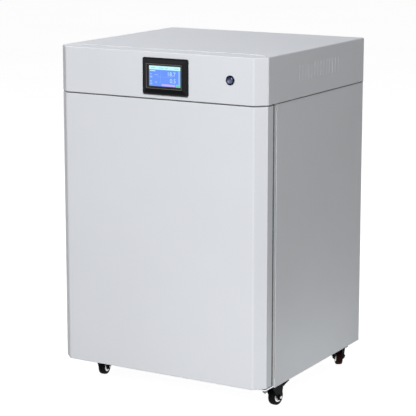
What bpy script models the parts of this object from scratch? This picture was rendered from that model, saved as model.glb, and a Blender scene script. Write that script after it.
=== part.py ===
"""Tri-gas incubator: an insulated cabinet on casters with a control section on top.

Metres, +Z up, +Y towards the back. The origin is on the floor, in the middle of the model.
"""
import math

import bmesh
import bpy
from mathutils import Matrix, Vector

# Clearances
GAP = 0.0003
THROUGH = 0.004
SUNK = 0.0004

# Cabinet
WIDTH = 0.620
DEPTH = 0.584
CASTER_HEIGHT = 0.074
BODY_HEIGHT = 0.7413
CONTROL_HEIGHT = 0.121
COVER_OVERHANG = 0.0011
CASE_SHEET = 0.0012
FOLD_RADIUS = 0.0016
COVER_FOLD_RADIUS = 0.003
FLANGE_DEPTH = 0.015
COVER_FLANGE = 0.012
CORNER_PLAY = 0.001
TRAY_DEPTH = 0.025
TRAY_SHEET = 0.002

# Front: door, fascia and frame
CHAMFER = 0.0275
BEND_RADIUS = 0.009
DOOR_DEPTH = 0.0535
DOOR_LIFT = 0.0086
DOOR_SEAM = 0.003
DOOR_SHEET = 0.001
DOOR_LINER_SHEET = 0.0015
DOOR_DISH_DEPTH = 0.007
DOOR_DISH_MARGIN = 0.052
GASKET_GAP = 0.006
GASKET_WIDTH = 0.016
GASKET_MARGIN = 0.013
FRAME_RETURN = 0.0131
FRAME_SHEET = 0.0012
FRAME_INSET = 0.0015
FASCIA_DEPTH = 0.090
FASCIA_DROP = 0.0015
COVER_SETBACK = 0.060
COVER_CORNER = 0.030
PULL_HEIGHT = 0.130
PULL_CENTRE_Z = 0.520
PULL_WIDTH = 0.020
PULL_DEPTH = 0.015
PULL_SETBACK = 0.040
PULL_WALL = 0.0018
PULL_CORNER = 0.004
LINER_EDGE_CORNER = 0.002
DISH_CORNER = 0.012
DISH_FLOOR_CORNER = 0.010
GASKET_CORNER = 0.014
GASKET_BASE = 0.0012
GASKET_WAIST = 0.003
GASKET_WAIST_HEIGHT = 0.0025
GASKET_ROUNDING = 0.001

# Door hinge
HINGE_INSET = 0.0099
HINGE_SETBACK = 0.038
HINGE_PIN_RADIUS = 0.004
HINGE_PIN_DEPTH = 0.015
BUSH_RADIUS = 0.0056
BUSH_FLANGE_RADIUS = 0.0070
BUSH_DEPTH = 0.020
BRACKET_SHEET = 0.003
BRACKET_LIFT = 0.0023
BRACKET_WIDTH = 0.036
BRACKET_REACH = 0.120
BRACKET_TIP = 0.013
BRACKET_TIP_UPPER = 0.010
BRACKET_INNER = 0.0145
BRACKET_TAIL_PLAY = 0.002
BRACKET_TAPER = (0.0012, 0.002)
BRACKET_STEP = 0.004
BRACKET_NECK = 0.014
BRACKET_CORNERS = (0.005, 0.004, 0, 0, 0.004, 0.004, 0.003, 0.004)
HINGE_PIN_ROUNDING = 0.001
HINGE_THREAD_END = 0.0095
HINGE_THREAD_TAPER = (0.0015, 0.002)
HINGE_NUT = (0.0072, 0.0065)
HINGE_NUT_TAPER = (0.0012, 0.001)
HINGE_PIN_HEAD = 0.002

# Chamber
CHAMBER_WIDTH = 0.410
CHAMBER_HEIGHT = 0.520
CHAMBER_DEPTH = 0.400
CHAMBER_LIFT = 0.096
CHAMBER_CORNER = 0.015
LINER_SHEET = 0.001
MOUTH_SETBACK = 0.092
REBATE_MARGIN = 0.033
REBATE_HEIGHT_MARGIN = 0.0231
REBATE_CORNER = 0.012
MOUTH_RETURN = 0.002

# Glass door
GLASS_SHEET = 0.005
GLASS_OVERLAP = 0.017
GLASS_SETBACK = 0.079
GLASS_CORNER = 0.010
SEAL_WIDTH = 0.008
GLASS_AXIS_SETBACK = 0.0755
GLASS_AXIS_MARGIN = 0.0065
GLASS_HINGE_RADIUS = 0.0042
GLASS_PIN_RADIUS = 0.0025
GLASS_HINGE_HEIGHT = 0.024
GLASS_EAR = 0.009
GLASS_EAR_HALF = 0.004
GLASS_PIN_PROUD = 0.001
CLIP_PLAY = 0.0005
SEAL_INSET = 0.002
GLASS_HINGE_OFFSET = 0.190
CLIP_REACH = 0.030
LATCH_INSET = 0.018
LATCH_RADIUS = 0.010
LATCH_HEIGHT = 0.014
LATCH_SHAFT = 0.004
LATCH_ROUNDING = 0.003
LATCH_NUT = (0.003, 0.004)
LATCH_GRIP_HALF = 0.0025
LATCH_GRIP_SUNK = 0.004
LATCH_GRIP_SHARE = 0.85
TONGUE_LENGTH = 0.0275
TONGUE_WIDTH = 0.010
TONGUE_SHEET = 0.0022
KEEPER_SHEET = 0.0035
KEEPER_OVERLAP = 0.005
KEEPER_WALL = 0.003
KEEPER_HALF = 0.012

# Inside the chamber
SHELF_RISES = (0.110, 0.230, 0.350)
SHELF_SHEET = 0.001
SHELF_LIP = 0.009
SHELF_DEPTH = 0.345
SHELF_FRONT = 0.106
SHELF_SLOT_ROWS = 3
SHELF_SLOT_COLUMNS = 8
SHELF_SLOT_HALVES = (0.2, 0.36)
RAIL_SHEET = 0.0015
RAIL_SEAT = 0.012
RAIL_HEIGHT = 0.010
WATER_TRAY = (0.300, 0.220, 0.034)
WATER_TRAY_FRONT = 0.150
WATER_TRAY_CORNER = 0.008
DUCT_WIDTH = 0.290
DUCT_DEPTH = 0.034
DUCT_LOW = 0.020
DUCT_HIGH = 0.017
DUCT_SLOT_COUNT = 8
DUCT_SLOT_LOW = 0.030
DUCT_SLOT_HIGH = 0.130
DUCT_SLOT_HALF = 0.14
FAN_BELOW_CEILING = 0.080
FAN_RADIUS = 0.051
FAN_EYE_RADIUS = 0.024
FAN_BLADES = 9
FAN_BLADE_SHEET = 0.0016
FAN_BLADE_SWEEP = 0.85
FAN_HUB_RADIUS = 0.010
FAN_HUB_FLARE = 0.004
FAN_NOSE = (0.003, 0.006)
FAN_NOSE_DOME = 0.001
FAN_FRONT_PLAY = 0.006
FAN_REAR_PLAY = 0.005
FAN_PLATE_SHEET = 0.0015
FAN_SHAFT_RADIUS = 0.003
FAN_SHAFT_REACH = 0.020
FAN_SHAFT_PLAY = 0.003
MOTOR_RADIUS = 0.034
MOTOR_DEPTH = 0.048
MOTOR_BODY = 0.85
MOTOR_END = 0.55
MOTOR_SHOULDER = 0.006
MOTOR_FLANGE = 0.004
INTAKE_RADIUS = 0.040
FILTER_RADIUS = 0.048
FILTER_BORE = 0.030
FILTER_DEPTH = 0.033
FILTER_PLEATS = 20
PLEAT_DEPTH = 0.004
FILTER_LID_LIP = 0.001
FILTER_LID_SHEET = 0.003
SENSOR_SPACING = 0.110
SENSOR_SETBACK = 0.250
SENSOR_RADIUS = 0.011
SENSOR_LENGTH = 0.042
SENSOR_FLANGE = (1.5, 0.004)
SENSOR_TIP = 0.003
PROBE_RADIUS = 0.0025
PROBE_LENGTH = 0.060
PROBE_INSET = 0.030
PROBE_FLANGE = (3, 0.003)
PROBE_NECK = 0.005
PROBE_TIP = 0.6
PORT_RADIUS = 0.015
PORT_WALL = 0.003
PORT_OFFSET = 0.170
PORT_HEIGHT = 0.300
PLUG_FLANGE = 0.005
PLUG_LIP = 0.002
PLUG_LENGTH = 0.025
PLUG_ROUNDING = (0.001, 0.0015)

# Display
DISPLAY_CENTRE = (0.0276, 0.0580)
DISPLAY_SIZE = (0.1354, 0.0950)
DISPLAY_PROUD = 0.005
DISPLAY_CUTOUT = (0.127, 0.087)
DISPLAY_RIDGE = (0.1075, 0.0655)
DISPLAY_RIDGE_OFFSET = -0.0044
DISPLAY_RIDGE_WIDTH = 0.002
DISPLAY_RIDGE_DEPTH = 0.0022
DISPLAY_RIDGE_RISE = 0.0005
DISPLAY_CORNER = 0.004
DISPLAY_INNER_CORNER = 0.003
DISPLAY_ROUNDING = 0.0015
DISPLAY_LIP = 0.0048
DISPLAY_CUTOUT_CORNER = 0.002
SCREEN_SIZE = (0.0985, 0.0580)
SCREEN_SETBACK = 0.0015
SCREEN_SHEET = 0.0012
SCREEN_CORNER = 0.001
SCREEN_EDGE_PLAY = 0.0002
HOUSING_DEPTH = 0.036
HOUSING_PLAY = 0.0007
HOUSING_EDGE = 0.0012

# Power button
BUTTON_FROM_SIDE = 0.0942
BUTTON_HEIGHT = 0.0606
BUTTON_RING_RADIUS = 0.01225
BUTTON_RADIUS = 0.0085
BUTTON_BODY_RADIUS = 0.0109
BUTTON_PROUD = 0.0023
BUTTON_DOME = 0.0022
BUTTON_TRAVEL = 0.003
BUTTON_SUNK = 0.0010
BUTTON_DOME_STEPS = ((0.85, 0.5), (0.5, 0.87))
BUTTON_RING_EDGE = (0.0010, 0.0008)
BUTTON_RING_LIP = (0.0008, 0.0006)
SWITCH_DEPTH = 0.030

# Slots in the cover
SLOT_COUNT = 14
SLOT_PITCH = 0.0175
SLOT_FIRST = 0.194
SLOT_WIDTH = 0.0022
SLOT_LOW = 0.045
SLOT_HIGH = 0.085
REAR_SLOT_COUNT = 8
REAR_SLOT_PITCH = 0.014
REAR_SLOT_X = -0.045
REAR_SLOT_WIDTH = 0.0036
REAR_SLOT_DROP = 0.005

# Services at the back
INLET_LENGTH = 0.022
INLET_BORE = 0.0022
INLET_NECK = 0.0055
INLET_X = 0.165
INLET_PITCH = 0.050
INLET_HEIGHT = 0.060
INLET_BAR_DEPTH = 0.006
INLET_BAR_HEIGHT = 0.022
INLET_BAR_CORNER = 0.004
INLET_STUB = 0.012
INLET_TIP = 0.0034
INLET_BARB = (0.0048, 0.006)
INLET_WAIST = (0.0036, 0.007)
INLET_SHOULDER = (0.004, 0.005)
MANIFOLD = (0.150, 0.044, 0.024)
MANIFOLD_SETBACK = 0.400
COIL_RADIUS = 0.011
COIL_HEIGHT = 0.052
COIL_NUT = (0.004, 0.004)
COIL_BEVEL = 0.001
VALVE_BODY_HALF = 0.013
VALVE_BODY_SETBACK = 0.006
VALVE_BODY_HEIGHT = 0.022
MAINS_X = -0.215
MAINS_HEIGHT = 0.052
MAINS_FLANGE = (0.050, 0.030)
MAINS_BODY = (0.028, 0.021)
MAINS_SOCKET = (0.022, 0.015)
MAINS_DEPTH = 0.024
MAINS_FLANGE_SHEET = 0.003
MAINS_FLANGE_CORNER = 0.004
MAINS_SOCKET_DEPTH = 0.014
PIN_RECESS = 0.0025
PIN_HALF = (0.001, 0.002)
PIN_PLACES = ((-0.007, -0.002), (0.0, 0.002), (0.007, -0.002))
POWER_SUPPLY = (0.110, 0.160, 0.048)
POWER_SUPPLY_INSET = 0.060
POWER_SUPPLY_SETBACK = 0.330
TERMINAL_DEPTH = 0.016
TERMINAL_SHARE = 0.45
BOARD = (0.180, 0.120)
BOARD_X = -0.060
BOARD_SETBACK = 0.200
BOARD_SHEET = 0.0016
STANDOFF = 0.008
STANDOFF_INSET = 0.008
STANDOFF_HALF = 0.003
RELAY_COUNT = 5
RELAY_FIRST = 0.018
RELAY_PITCH = 0.030
RELAY = (0.016, 0.020, 0.015)
RELAY_SETBACK = 0.030
CHIP_PLACE = (0.070, 0.030)
CHIP = (0.028, 0.028, 0.003)
CONNECTOR_PLACE = (0.020, 0.006)
CONNECTOR = (0.100, 0.010, 0.010)

# Casters
SWIVEL_INSET = 0.042
SWIVEL_FRONT = 0.131
SWIVEL_REAR_INSET = 0.038
CASTER_YAWS = {"fl": 8.0, "fr": -7.0, "rl": 14.0, "rr": 34.0}
TRAIL = 0.020
WHEEL_RADIUS = 0.0235
WHEEL_WIDTH = 0.020
WHEEL_HUB_RADIUS = 0.0128
WHEEL_FACE_RADIUS = 0.0080
WHEEL_DISH = 0.002
TREAD_EDGE = (0.0005, 0.006)
TREAD_SHOULDER = 0.003
AXLE_RADIUS = 0.004
FORK_SHEET = 0.0025
FORK_SPACE = 0.0015
CROWN_RADIUS = 0.024
CROWN_SKIRT = 0.008
CROWN_ROUNDING = 0.002
LEG_FRONT = -0.0185
LEG_REAR = 0.021
LEG_SUNK = 0.001
LEG_BOSS = 0.0095
LEG_EAR = 0.005
BOLT_HEAD = (0.0062, 0.0035)
BOLT_CROWN = 0.002
PLATE_SIZE = 0.056
PLATE_SHEET = 0.0025
PLATE_CORNER = 0.006
RACE_RADIUS = 0.021
RACE_HEIGHT = 0.0037
KING_PIN_RADIUS = 0.0048
KING_PIN_HEAD = (1.7, 0.002)
PEDAL_PIVOT = (0.030, 0.0500)
PEDAL_PIN_RADIUS = 0.0022
PEDAL_PIN_PROUD = 0.001
PEDAL_BOSS = 0.0034
PEDAL_REACH = 0.032
PEDAL_PLAY = 0.0008
PEDAL_SHEET = 0.0036
PEDAL_ANGLE = 18.0
PEDAL_PAD_WIDTH = 0.028
PEDAL_PAD_START = 0.42
PEDAL_PAD_END = 0.003
PEDAL_PAD_SHARES = (1.4, 1.2, 1.8)
PEDAL_LEVER_SHARE = 0.85
PEDAL_WEB = (0.014, 0.0072)

# Places worked out from the sizes
Y_FRONT = -(DEPTH + INLET_LENGTH - DISPLAY_PROUD) / 2
Y_DOOR_BACK = Y_FRONT + DOOR_DEPTH
Y_FRAME = Y_DOOR_BACK + GASKET_GAP
Y_CASE = Y_FRAME + FRAME_RETURN + 2 * GAP
Y_REAR = Y_FRONT + DEPTH
Z_BODY = CASTER_HEIGHT
Z_DOOR = Z_BODY + DOOR_LIFT
Z_SEAM = Z_BODY + BODY_HEIGHT
Z_DOOR_TOP = Z_SEAM - DOOR_SEAM
Z_DECK = Z_SEAM - GAP
Z_TOP = Z_SEAM + CONTROL_HEIGHT
HALF = WIDTH / 2
BODY_HALF = HALF - COVER_OVERHANG
INNER_HALF = BODY_HALF - CASE_SHEET - GAP
COVER_INNER_HALF = HALF - CASE_SHEET - GAP
Z_FRAME = Z_BODY + BRACKET_LIFT + BRACKET_SHEET + 2 * GAP
Z_CHAMBER = Z_BODY + CHAMBER_LIFT
Z_CEILING = Z_CHAMBER + CHAMBER_HEIGHT
Y_MOUTH = Y_FRONT + MOUTH_SETBACK
Y_LINER = Y_MOUTH + MOUTH_RETURN + GAP
Y_CHAMBER_BACK = Y_LINER + CHAMBER_DEPTH
CHAMBER_HALF = CHAMBER_WIDTH / 2
HINGE_X = BODY_HALF - HINGE_INSET
Y_HINGE = Y_FRONT + HINGE_SETBACK
GLASS_HALF = CHAMBER_HALF + GLASS_OVERLAP
GLASS_AXIS_X = GLASS_HALF + GLASS_AXIS_MARGIN
Y_GLASS_AXIS = Y_FRONT + GLASS_AXIS_SETBACK
Y_GLASS = Y_FRONT + GLASS_SETBACK
Z_GLASS_MIDDLE = Z_CHAMBER + CHAMBER_HEIGHT / 2
REBATE_HALF = CHAMBER_HALF + REBATE_MARGIN
REBATE_LOW = Z_CHAMBER - REBATE_HEIGHT_MARGIN
REBATE_HIGH = Z_CEILING + REBATE_HEIGHT_MARGIN
LATCH_X = LATCH_INSET - GLASS_HALF
Y_DUCT = Y_CHAMBER_BACK - GAP - DUCT_DEPTH
FAN_Z = Z_CEILING - FAN_BELOW_CEILING
BUTTON_X = HALF - BUTTON_FROM_SIDE
BUTTON_Z = Z_SEAM + BUTTON_HEIGHT
DISPLAY_X = DISPLAY_CENTRE[0]
DISPLAY_Z = Z_SEAM + DISPLAY_CENTRE[1]
INLET_Z = Z_SEAM + INLET_HEIGHT
RAIL_FACE = CHAMBER_HALF - RAIL_SHEET
SHELF_LEVELS = tuple(Z_CHAMBER + rise for rise in SHELF_RISES)
SWIVEL_X = HALF - SWIVEL_INSET
SWIVEL_REAR = DEPTH - SWIVEL_REAR_INSET
FORK_INNER = WHEEL_WIDTH / 2 + FORK_SPACE
FORK_OUTER = FORK_INNER + FORK_SHEET
Z_RACE = Z_BODY - GAP - PLATE_SHEET - RACE_HEIGHT
Z_CROWN = Z_RACE - GAP

MODEL = "tri_gas_incubator"
CUTTERS = "cutters"
WHITE = ((0.78, 0.80, 0.82, 1.0), 0.35, 0.0)
STEEL = ((0.62, 0.63, 0.64, 1.0), 0.30, 1.0)
ZINC = ((0.70, 0.70, 0.72, 1.0), 0.28, 1.0)
BLACK = ((0.015, 0.015, 0.017, 1.0), 0.45, 0.0)
RUBBER = ((0.03, 0.03, 0.032, 1.0), 0.75, 0.0)
SILICONE = ((0.72, 0.73, 0.74, 1.0), 0.55, 0.0)
FOAM = ((0.80, 0.74, 0.52, 1.0), 0.90, 0.0)
GLASS = ((0.75, 0.85, 0.84, 0.35), 0.05, 0.0)
BLUE = ((0.02, 0.05, 0.28, 1.0), 0.15, 0.2)
BOARD_GREEN = ((0.02, 0.20, 0.08, 1.0), 0.50, 0.0)
BRASS = ((0.70, 0.52, 0.22, 1.0), 0.30, 1.0)


def clear_scene():
    for item in list(bpy.data.objects):
        bpy.data.objects.remove(item, do_unlink=True)


def group(name):
    found = bpy.data.collections.get(name)
    if found is None:
        found = bpy.data.collections.new(name)
        bpy.context.scene.collection.children.link(found)
    return found


def add(name, data, home=MODEL):
    item = bpy.data.objects.new(name, data)
    group(home).objects.link(item)
    return item


def paint(item, finish):
    colour, roughness, metallic = finish
    look = bpy.data.materials.new(item.name + "_finish")
    look.use_nodes = True
    shader = look.node_tree.nodes["Principled BSDF"]
    shader.inputs["Base Color"].default_value = colour
    shader.inputs["Roughness"].default_value = roughness
    shader.inputs["Metallic"].default_value = metallic
    shader.inputs["Alpha"].default_value = colour[3]
    item.data.materials.append(look)
    return item


def smooth(item, degrees=35.0):
    item.data.shade_smooth()
    item.data.set_sharp_from_angle(angle=math.radians(degrees))
    return item


def from_bmesh(name, shape, home=MODEL):
    mesh = bpy.data.meshes.new(name)
    shape.to_mesh(mesh)
    shape.free()
    return add(name, mesh, home)


def blocks(name, boxes, home=MODEL):
    """Boxes given by their low and high corners, in one object."""
    shape = bmesh.new()
    for low, high in boxes:
        made = bmesh.ops.create_cube(shape, size=1.0)["verts"]
        low, high = Vector(low), Vector(high)
        bmesh.ops.scale(shape, vec=high - low, verts=made)
        bmesh.ops.translate(shape, vec=(low + high) / 2, verts=made)
    return from_bmesh(name, shape, home)


def block(name, low, high, home=MODEL):
    return blocks(name, [(low, high)], home)


def bevelled(item, width, segments=2, degrees=40.0):
    edge = item.modifiers.new("rounded_edges", "BEVEL")
    edge.width = width
    edge.segments = segments
    edge.limit_method = "ANGLE"
    edge.angle_limit = math.radians(degrees)
    return item


def thicken(item, sheet, outward=False):
    wall = item.modifiers.new("sheet", "SOLIDIFY")
    wall.thickness = sheet
    wall.offset = 1.0 if outward else -1.0
    wall.use_even_offset = True
    wall.use_quality_normals = True
    return item


def pan(name, low, high, open_side, sheet, corner=0.0, steps=3, outward=False):
    """A box of sheet with one side left open, its closed edges rounded to the given corner."""
    item = block(name, low, high)
    shape = bmesh.new()
    shape.from_mesh(item.data)
    direction = Vector(open_side)
    mouth = max(shape.faces, key=lambda face: face.normal.dot(direction))
    folds = [edge for edge in shape.edges if mouth not in edge.link_faces]
    bmesh.ops.delete(shape, geom=[mouth], context="FACES_ONLY")
    if corner:
        bmesh.ops.bevel(shape, geom=folds, offset=corner, segments=steps, profile=0.5,
                        affect="EDGES", clamp_overlap=True)
    shape.to_mesh(item.data)
    shape.free()
    return thicken(item, sheet, outward)


def filleted(points, radii, steps, closed=True):
    """The outline with each corner turned into an arc of its own radius."""
    points = [Vector(point) for point in points]
    outline = []
    for index, (corner, radius) in enumerate(zip(points, radii)):
        is_end = not closed and index in (0, len(points) - 1)
        if is_end or radius <= 0.0:
            outline.append(corner)
            continue
        back = (points[index - 1] - corner).normalized()
        ahead = (points[(index + 1) % len(points)] - corner).normalized()
        half_angle = back.angle(ahead) / 2
        centre = corner + (back + ahead).normalized() * radius / math.sin(half_angle)
        spoke = corner + back * radius / math.tan(half_angle) - centre
        turn = (math.pi - 2 * half_angle) * math.copysign(1.0, ahead.cross(back))
        for step in range(steps + 1):
            outline.append(centre + Matrix.Rotation(turn * step / steps, 2) @ spoke)
    return [tuple(point) for point in outline]


def rounded_rectangle(half_width, half_height, radius, steps=2, centre=(0.0, 0.0)):
    x, y = centre
    corners = [(x - half_width, y - half_height), (x + half_width, y - half_height),
               (x + half_width, y + half_height), (x - half_width, y + half_height)]
    return filleted(corners, [radius] * 4, steps)


def circle(radius, segments, centre=(0.0, 0.0)):
    angles = [2 * math.pi * step / segments for step in range(segments)]
    return [(centre[0] + radius * math.cos(a), centre[1] + radius * math.sin(a)) for a in angles]


def axis_matrix(axis):
    """Turns local Z onto the named axis: for Y the outline is in X and Z, for X in Y and Z."""
    if axis == "Y":
        return Matrix.Rotation(math.pi / 2, 4, "X")
    if axis == "X":
        return Matrix(((0, 0, 1, 0), (1, 0, 0, 0), (0, 1, 0, 0), (0, 0, 0, 1)))
    return Matrix.Identity(4)


def as_mesh(item, home):
    """The curve object as a closed mesh object of the same name."""
    bpy.context.view_layer.update()
    source = item.evaluated_get(bpy.context.evaluated_depsgraph_get())
    mesh = bpy.data.meshes.new_from_object(source)
    shape = bmesh.new()
    shape.from_mesh(mesh)
    bmesh.ops.transform(shape, matrix=item.matrix_world, verts=shape.verts)
    bmesh.ops.remove_doubles(shape, verts=shape.verts, dist=0.00001)
    bmesh.ops.recalc_face_normals(shape, faces=shape.faces)
    name = item.name
    bpy.data.objects.remove(item, do_unlink=True)
    bpy.data.meshes.remove(mesh)
    return from_bmesh(name, shape, home)


def prism(name, loops, low, high, axis="Z", home=MODEL):
    """Flat outlines, with any inner loops as holes, made thick along the axis."""
    curve = bpy.data.curves.new(name, "CURVE")
    curve.dimensions = "2D"
    curve.fill_mode = "BOTH"
    curve.extrude = (high - low) / 2
    for loop in loops:
        spline = curve.splines.new("POLY")
        spline.points.add(len(loop) - 1)
        for point, (u, v) in zip(spline.points, loop):
            point.co = (u, v, 0.0, 1.0)
        spline.use_cyclic_u = True
    item = add(name, curve, home)
    shift = {"X": (1, 0, 0), "Y": (0, 1, 0), "Z": (0, 0, 1)}[axis]
    item.matrix_world = Matrix.Translation(Vector(shift) * (low + high) / 2) @ axis_matrix(axis)
    return as_mesh(item, home)


def turned(name, profile, segments, place=(0, 0, 0), axis="Z", home=MODEL):
    """A profile of (radius, height) points, from the top down its outer side, turned round."""
    mesh = bpy.data.meshes.new(name)
    last = len(profile) - 1
    edges = [(step, step + 1) for step in range(last)]
    if profile[0][0] > 0.0:
        edges.append((last, 0))
    mesh.from_pydata([(radius, 0.0, height) for radius, height in profile], edges, [])
    item = add(name, mesh, home)
    lathe = item.modifiers.new("turned", "SCREW")
    lathe.angle = 2 * math.pi
    lathe.steps = segments
    lathe.render_steps = segments
    lathe.use_merge_vertices = True
    lathe.merge_threshold = 0.00001
    lathe.use_smooth_shade = False
    turns = {"X": Matrix.Rotation(math.pi / 2, 4, "Y"), "Y": Matrix.Rotation(-math.pi / 2, 4, "X"),
             "Z": Matrix.Identity(4)}
    item.matrix_world = Matrix.Translation(place) @ turns[axis]
    return item


def folded(name, path, start, end, sheet):
    """A sheet folded along a path in X and Z, seen from the front, and as long as start to end."""
    shape = bmesh.new()
    corners = [shape.verts.new((x, start, z)) for x, z in path]
    edges = [shape.edges.new(pair) for pair in zip(corners, corners[1:])]
    made = bmesh.ops.extrude_edge_only(shape, edges=edges)["geom"]
    moved = [part for part in made if isinstance(part, bmesh.types.BMVert)]
    bmesh.ops.translate(shape, vec=(0, end - start, 0), verts=moved)
    shape.normal_update()
    roof = max(shape.faces, key=lambda face: face.calc_center_median().z)
    if roof.normal.z < 0.0:
        bmesh.ops.reverse_faces(shape, faces=shape.faces)
    return thicken(from_bmesh(name, shape), sheet)


def lofted(name, rings, close=False, cap=False, facing=(0, -1, 0)):
    """Loft through rings of (outline in X and Z, y), each with the same number of points."""
    shape = bmesh.new()
    loops = [[shape.verts.new((x, y, z)) for x, z in outline] for outline, y in rings]
    pairs = list(zip(loops, loops[1:]))
    if close:
        pairs.append((loops[-1], loops[0]))
    for near, far in pairs:
        for step in range(len(near)):
            shape.faces.new((near[step - 1], near[step], far[step], far[step - 1]))
    if cap:
        shape.faces.new(loops[-1])
    bmesh.ops.recalc_face_normals(shape, faces=shape.faces)
    total = sum((face.normal * face.calc_area() for face in shape.faces), Vector())
    if not close and total.dot(Vector(facing)) < 0.0:
        bmesh.ops.reverse_faces(shape, faces=shape.faces)
    return from_bmesh(name, shape)


def frame_ring(half, low, high, radius, steps=3):
    middle = (low + high) / 2
    return rounded_rectangle(half, (high - low) / 2, radius, steps, (0.0, middle))


def hide_tool(tool):
    for home in tool.users_collection:
        home.objects.unlink(tool)
    group(CUTTERS).objects.link(tool)
    tool.hide_render = True
    tool.display_type = "WIRE"


def boolean(item, tool, operation):
    hide_tool(tool)
    change = item.modifiers.new(operation.lower() + "_" + tool.name, "BOOLEAN")
    change.operation = operation
    change.object = tool
    return item


def cut(item, *tools):
    for tool in tools:
        boolean(item, tool, "DIFFERENCE")
    return item


def unite(item, *tools):
    for tool in tools:
        boolean(item, tool, "UNION")
    return item


def gather(item, *others):
    """Puts the meshes of plain objects into one, as separate solids."""
    shape = bmesh.new()
    for part in (item, *others):
        part.data.transform(part.matrix_world)
        part.matrix_world = Matrix.Identity(4)
        shape.from_mesh(part.data)
    shape.to_mesh(item.data)
    shape.free()
    for part in others:
        bpy.data.objects.remove(part, do_unlink=True)
    return item


def frozen(item):
    """The object with its modifiers worked into its mesh."""
    bpy.context.view_layer.update()
    source = item.evaluated_get(bpy.context.evaluated_depsgraph_get())
    mesh = bpy.data.meshes.new_from_object(source)
    item.modifiers.clear()
    item.data = mesh
    return item


def set_origin(item, point):
    item.data.transform(Matrix.Translation(-Vector(point)))
    item.location = Vector(item.location) + Vector(point)
    return item


def y_at(setback):
    return Y_FRONT + setback


def front_outline(half, depth, inset=0.0):
    """Plan of the door and of the fascia: a flat front with both front corners cut at 45 degrees."""
    cut_back = CHAMFER - (HALF - half) - inset * (2 - math.sqrt(2))
    side = half - inset
    front = Y_FRONT + inset
    points = [(side, Y_FRONT + depth), (-side, Y_FRONT + depth), (-side, front + cut_back),
              (cut_back - side, front), (side - cut_back, front), (side, front + cut_back)]
    bend = BEND_RADIUS - inset
    return filleted(points, [0, 0, 0, bend, bend, 0], 3)


def open_shell(name, outline, low, high, sheet, edge=0.0):
    """The outline's walls with a floor and a roof, open at the back."""
    item = prism(name, [outline], low, high)
    shape = bmesh.new()
    shape.from_mesh(item.data)
    back = max(vert.co.y for vert in shape.verts)
    mouth = [face for face in shape.faces
             if all(abs(vert.co.y - back) < GAP for vert in face.verts)]
    bmesh.ops.delete(shape, geom=mouth, context="FACES_ONLY")
    flat = [part for part in shape.edges if len(part.link_faces) == 2
            and all(abs(face.normal.z) > 0.99 for face in part.link_faces)]
    bmesh.ops.dissolve_edges(shape, edges=flat, use_verts=False)
    if edge:
        rims = [part for part in shape.edges if len(part.link_faces) == 2
                and sum(abs(face.normal.z) > 0.99 for face in part.link_faces) == 1]
        bmesh.ops.bevel(shape, geom=rims, offset=edge, segments=2, profile=0.5,
                        affect="EDGES", clamp_overlap=True)
    shape.to_mesh(item.data)
    shape.free()
    return thicken(item, sheet)


def base_frame():
    low = (-INNER_HALF, Y_CASE, Z_BODY)
    high = (INNER_HALF, Y_REAR - FLANGE_DEPTH - GAP, Z_BODY + TRAY_DEPTH)
    tray = pan("base_frame", low, high, (0, 0, 1), TRAY_SHEET)
    notch_low = (HINGE_X - BRACKET_WIDTH, Y_CASE - THROUGH, Z_BODY + TRAY_SHEET + GAP / 2)
    notch_high = (INNER_HALF - TRAY_SHEET - GAP, Y_CASE + TRAY_SHEET + THROUGH,
                  Z_BODY + BRACKET_LIFT + BRACKET_SHEET + GAP)
    return paint(cut(tray, block("bracket_notch", notch_low, notch_high)), WHITE)


def outer_case():
    corners = [(-BODY_HALF, Z_BODY), (-BODY_HALF, Z_DECK), (BODY_HALF, Z_DECK), (BODY_HALF, Z_BODY)]
    path = filleted(corners, [FOLD_RADIUS] * 4, 3, closed=False)
    return smooth(paint(folded("outer_case", path, Y_CASE, Y_REAR, CASE_SHEET), WHITE), 20)


def rear_panel():
    low = (-INNER_HALF, Y_REAR - FLANGE_DEPTH, Z_BODY)
    high = (INNER_HALF, Y_REAR, Z_DECK - CASE_SHEET - GAP)
    panel = pan("rear_panel", low, high, (0, -1, 0), CASE_SHEET)
    return paint(cut(panel, port_hole("rear_port_hole", Y_REAR - FLANGE_DEPTH)), WHITE)


def port_hole(name, start, radius=PORT_RADIUS + PORT_WALL + GAP):
    outline = circle(radius, 20, (-PORT_OFFSET, PORT_HEIGHT))
    return prism(name, [outline], start, Y_REAR + THROUGH, "Y")


def front_frame():
    low, high = Z_FRAME, Z_DECK
    edge = FOLD_RADIUS
    half = BODY_HALF - GAP - FRAME_INSET
    mouth = CHAMBER_HALF
    rings = [
        (frame_ring(half, low, high, edge), Y_FRAME + FRAME_RETURN),
        (frame_ring(half, low, high, edge), Y_FRAME + edge),
        (frame_ring(half - edge, low + edge, high - edge, edge), Y_FRAME),
        (frame_ring(REBATE_HALF, REBATE_LOW, REBATE_HIGH, REBATE_CORNER), Y_FRAME),
        (frame_ring(REBATE_HALF, REBATE_LOW, REBATE_HIGH, REBATE_CORNER), Y_MOUTH),
        (frame_ring(mouth, Z_CHAMBER, Z_CEILING, CHAMBER_CORNER), Y_MOUTH),
        (frame_ring(mouth, Z_CHAMBER, Z_CEILING, CHAMBER_CORNER), Y_MOUTH + MOUTH_RETURN),
    ]
    item = thicken(lofted("front_frame", rings), FRAME_SHEET)
    return smooth(paint(unite(item, glass_hinge_posts(), latch_keeper()), WHITE), 20)


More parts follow.
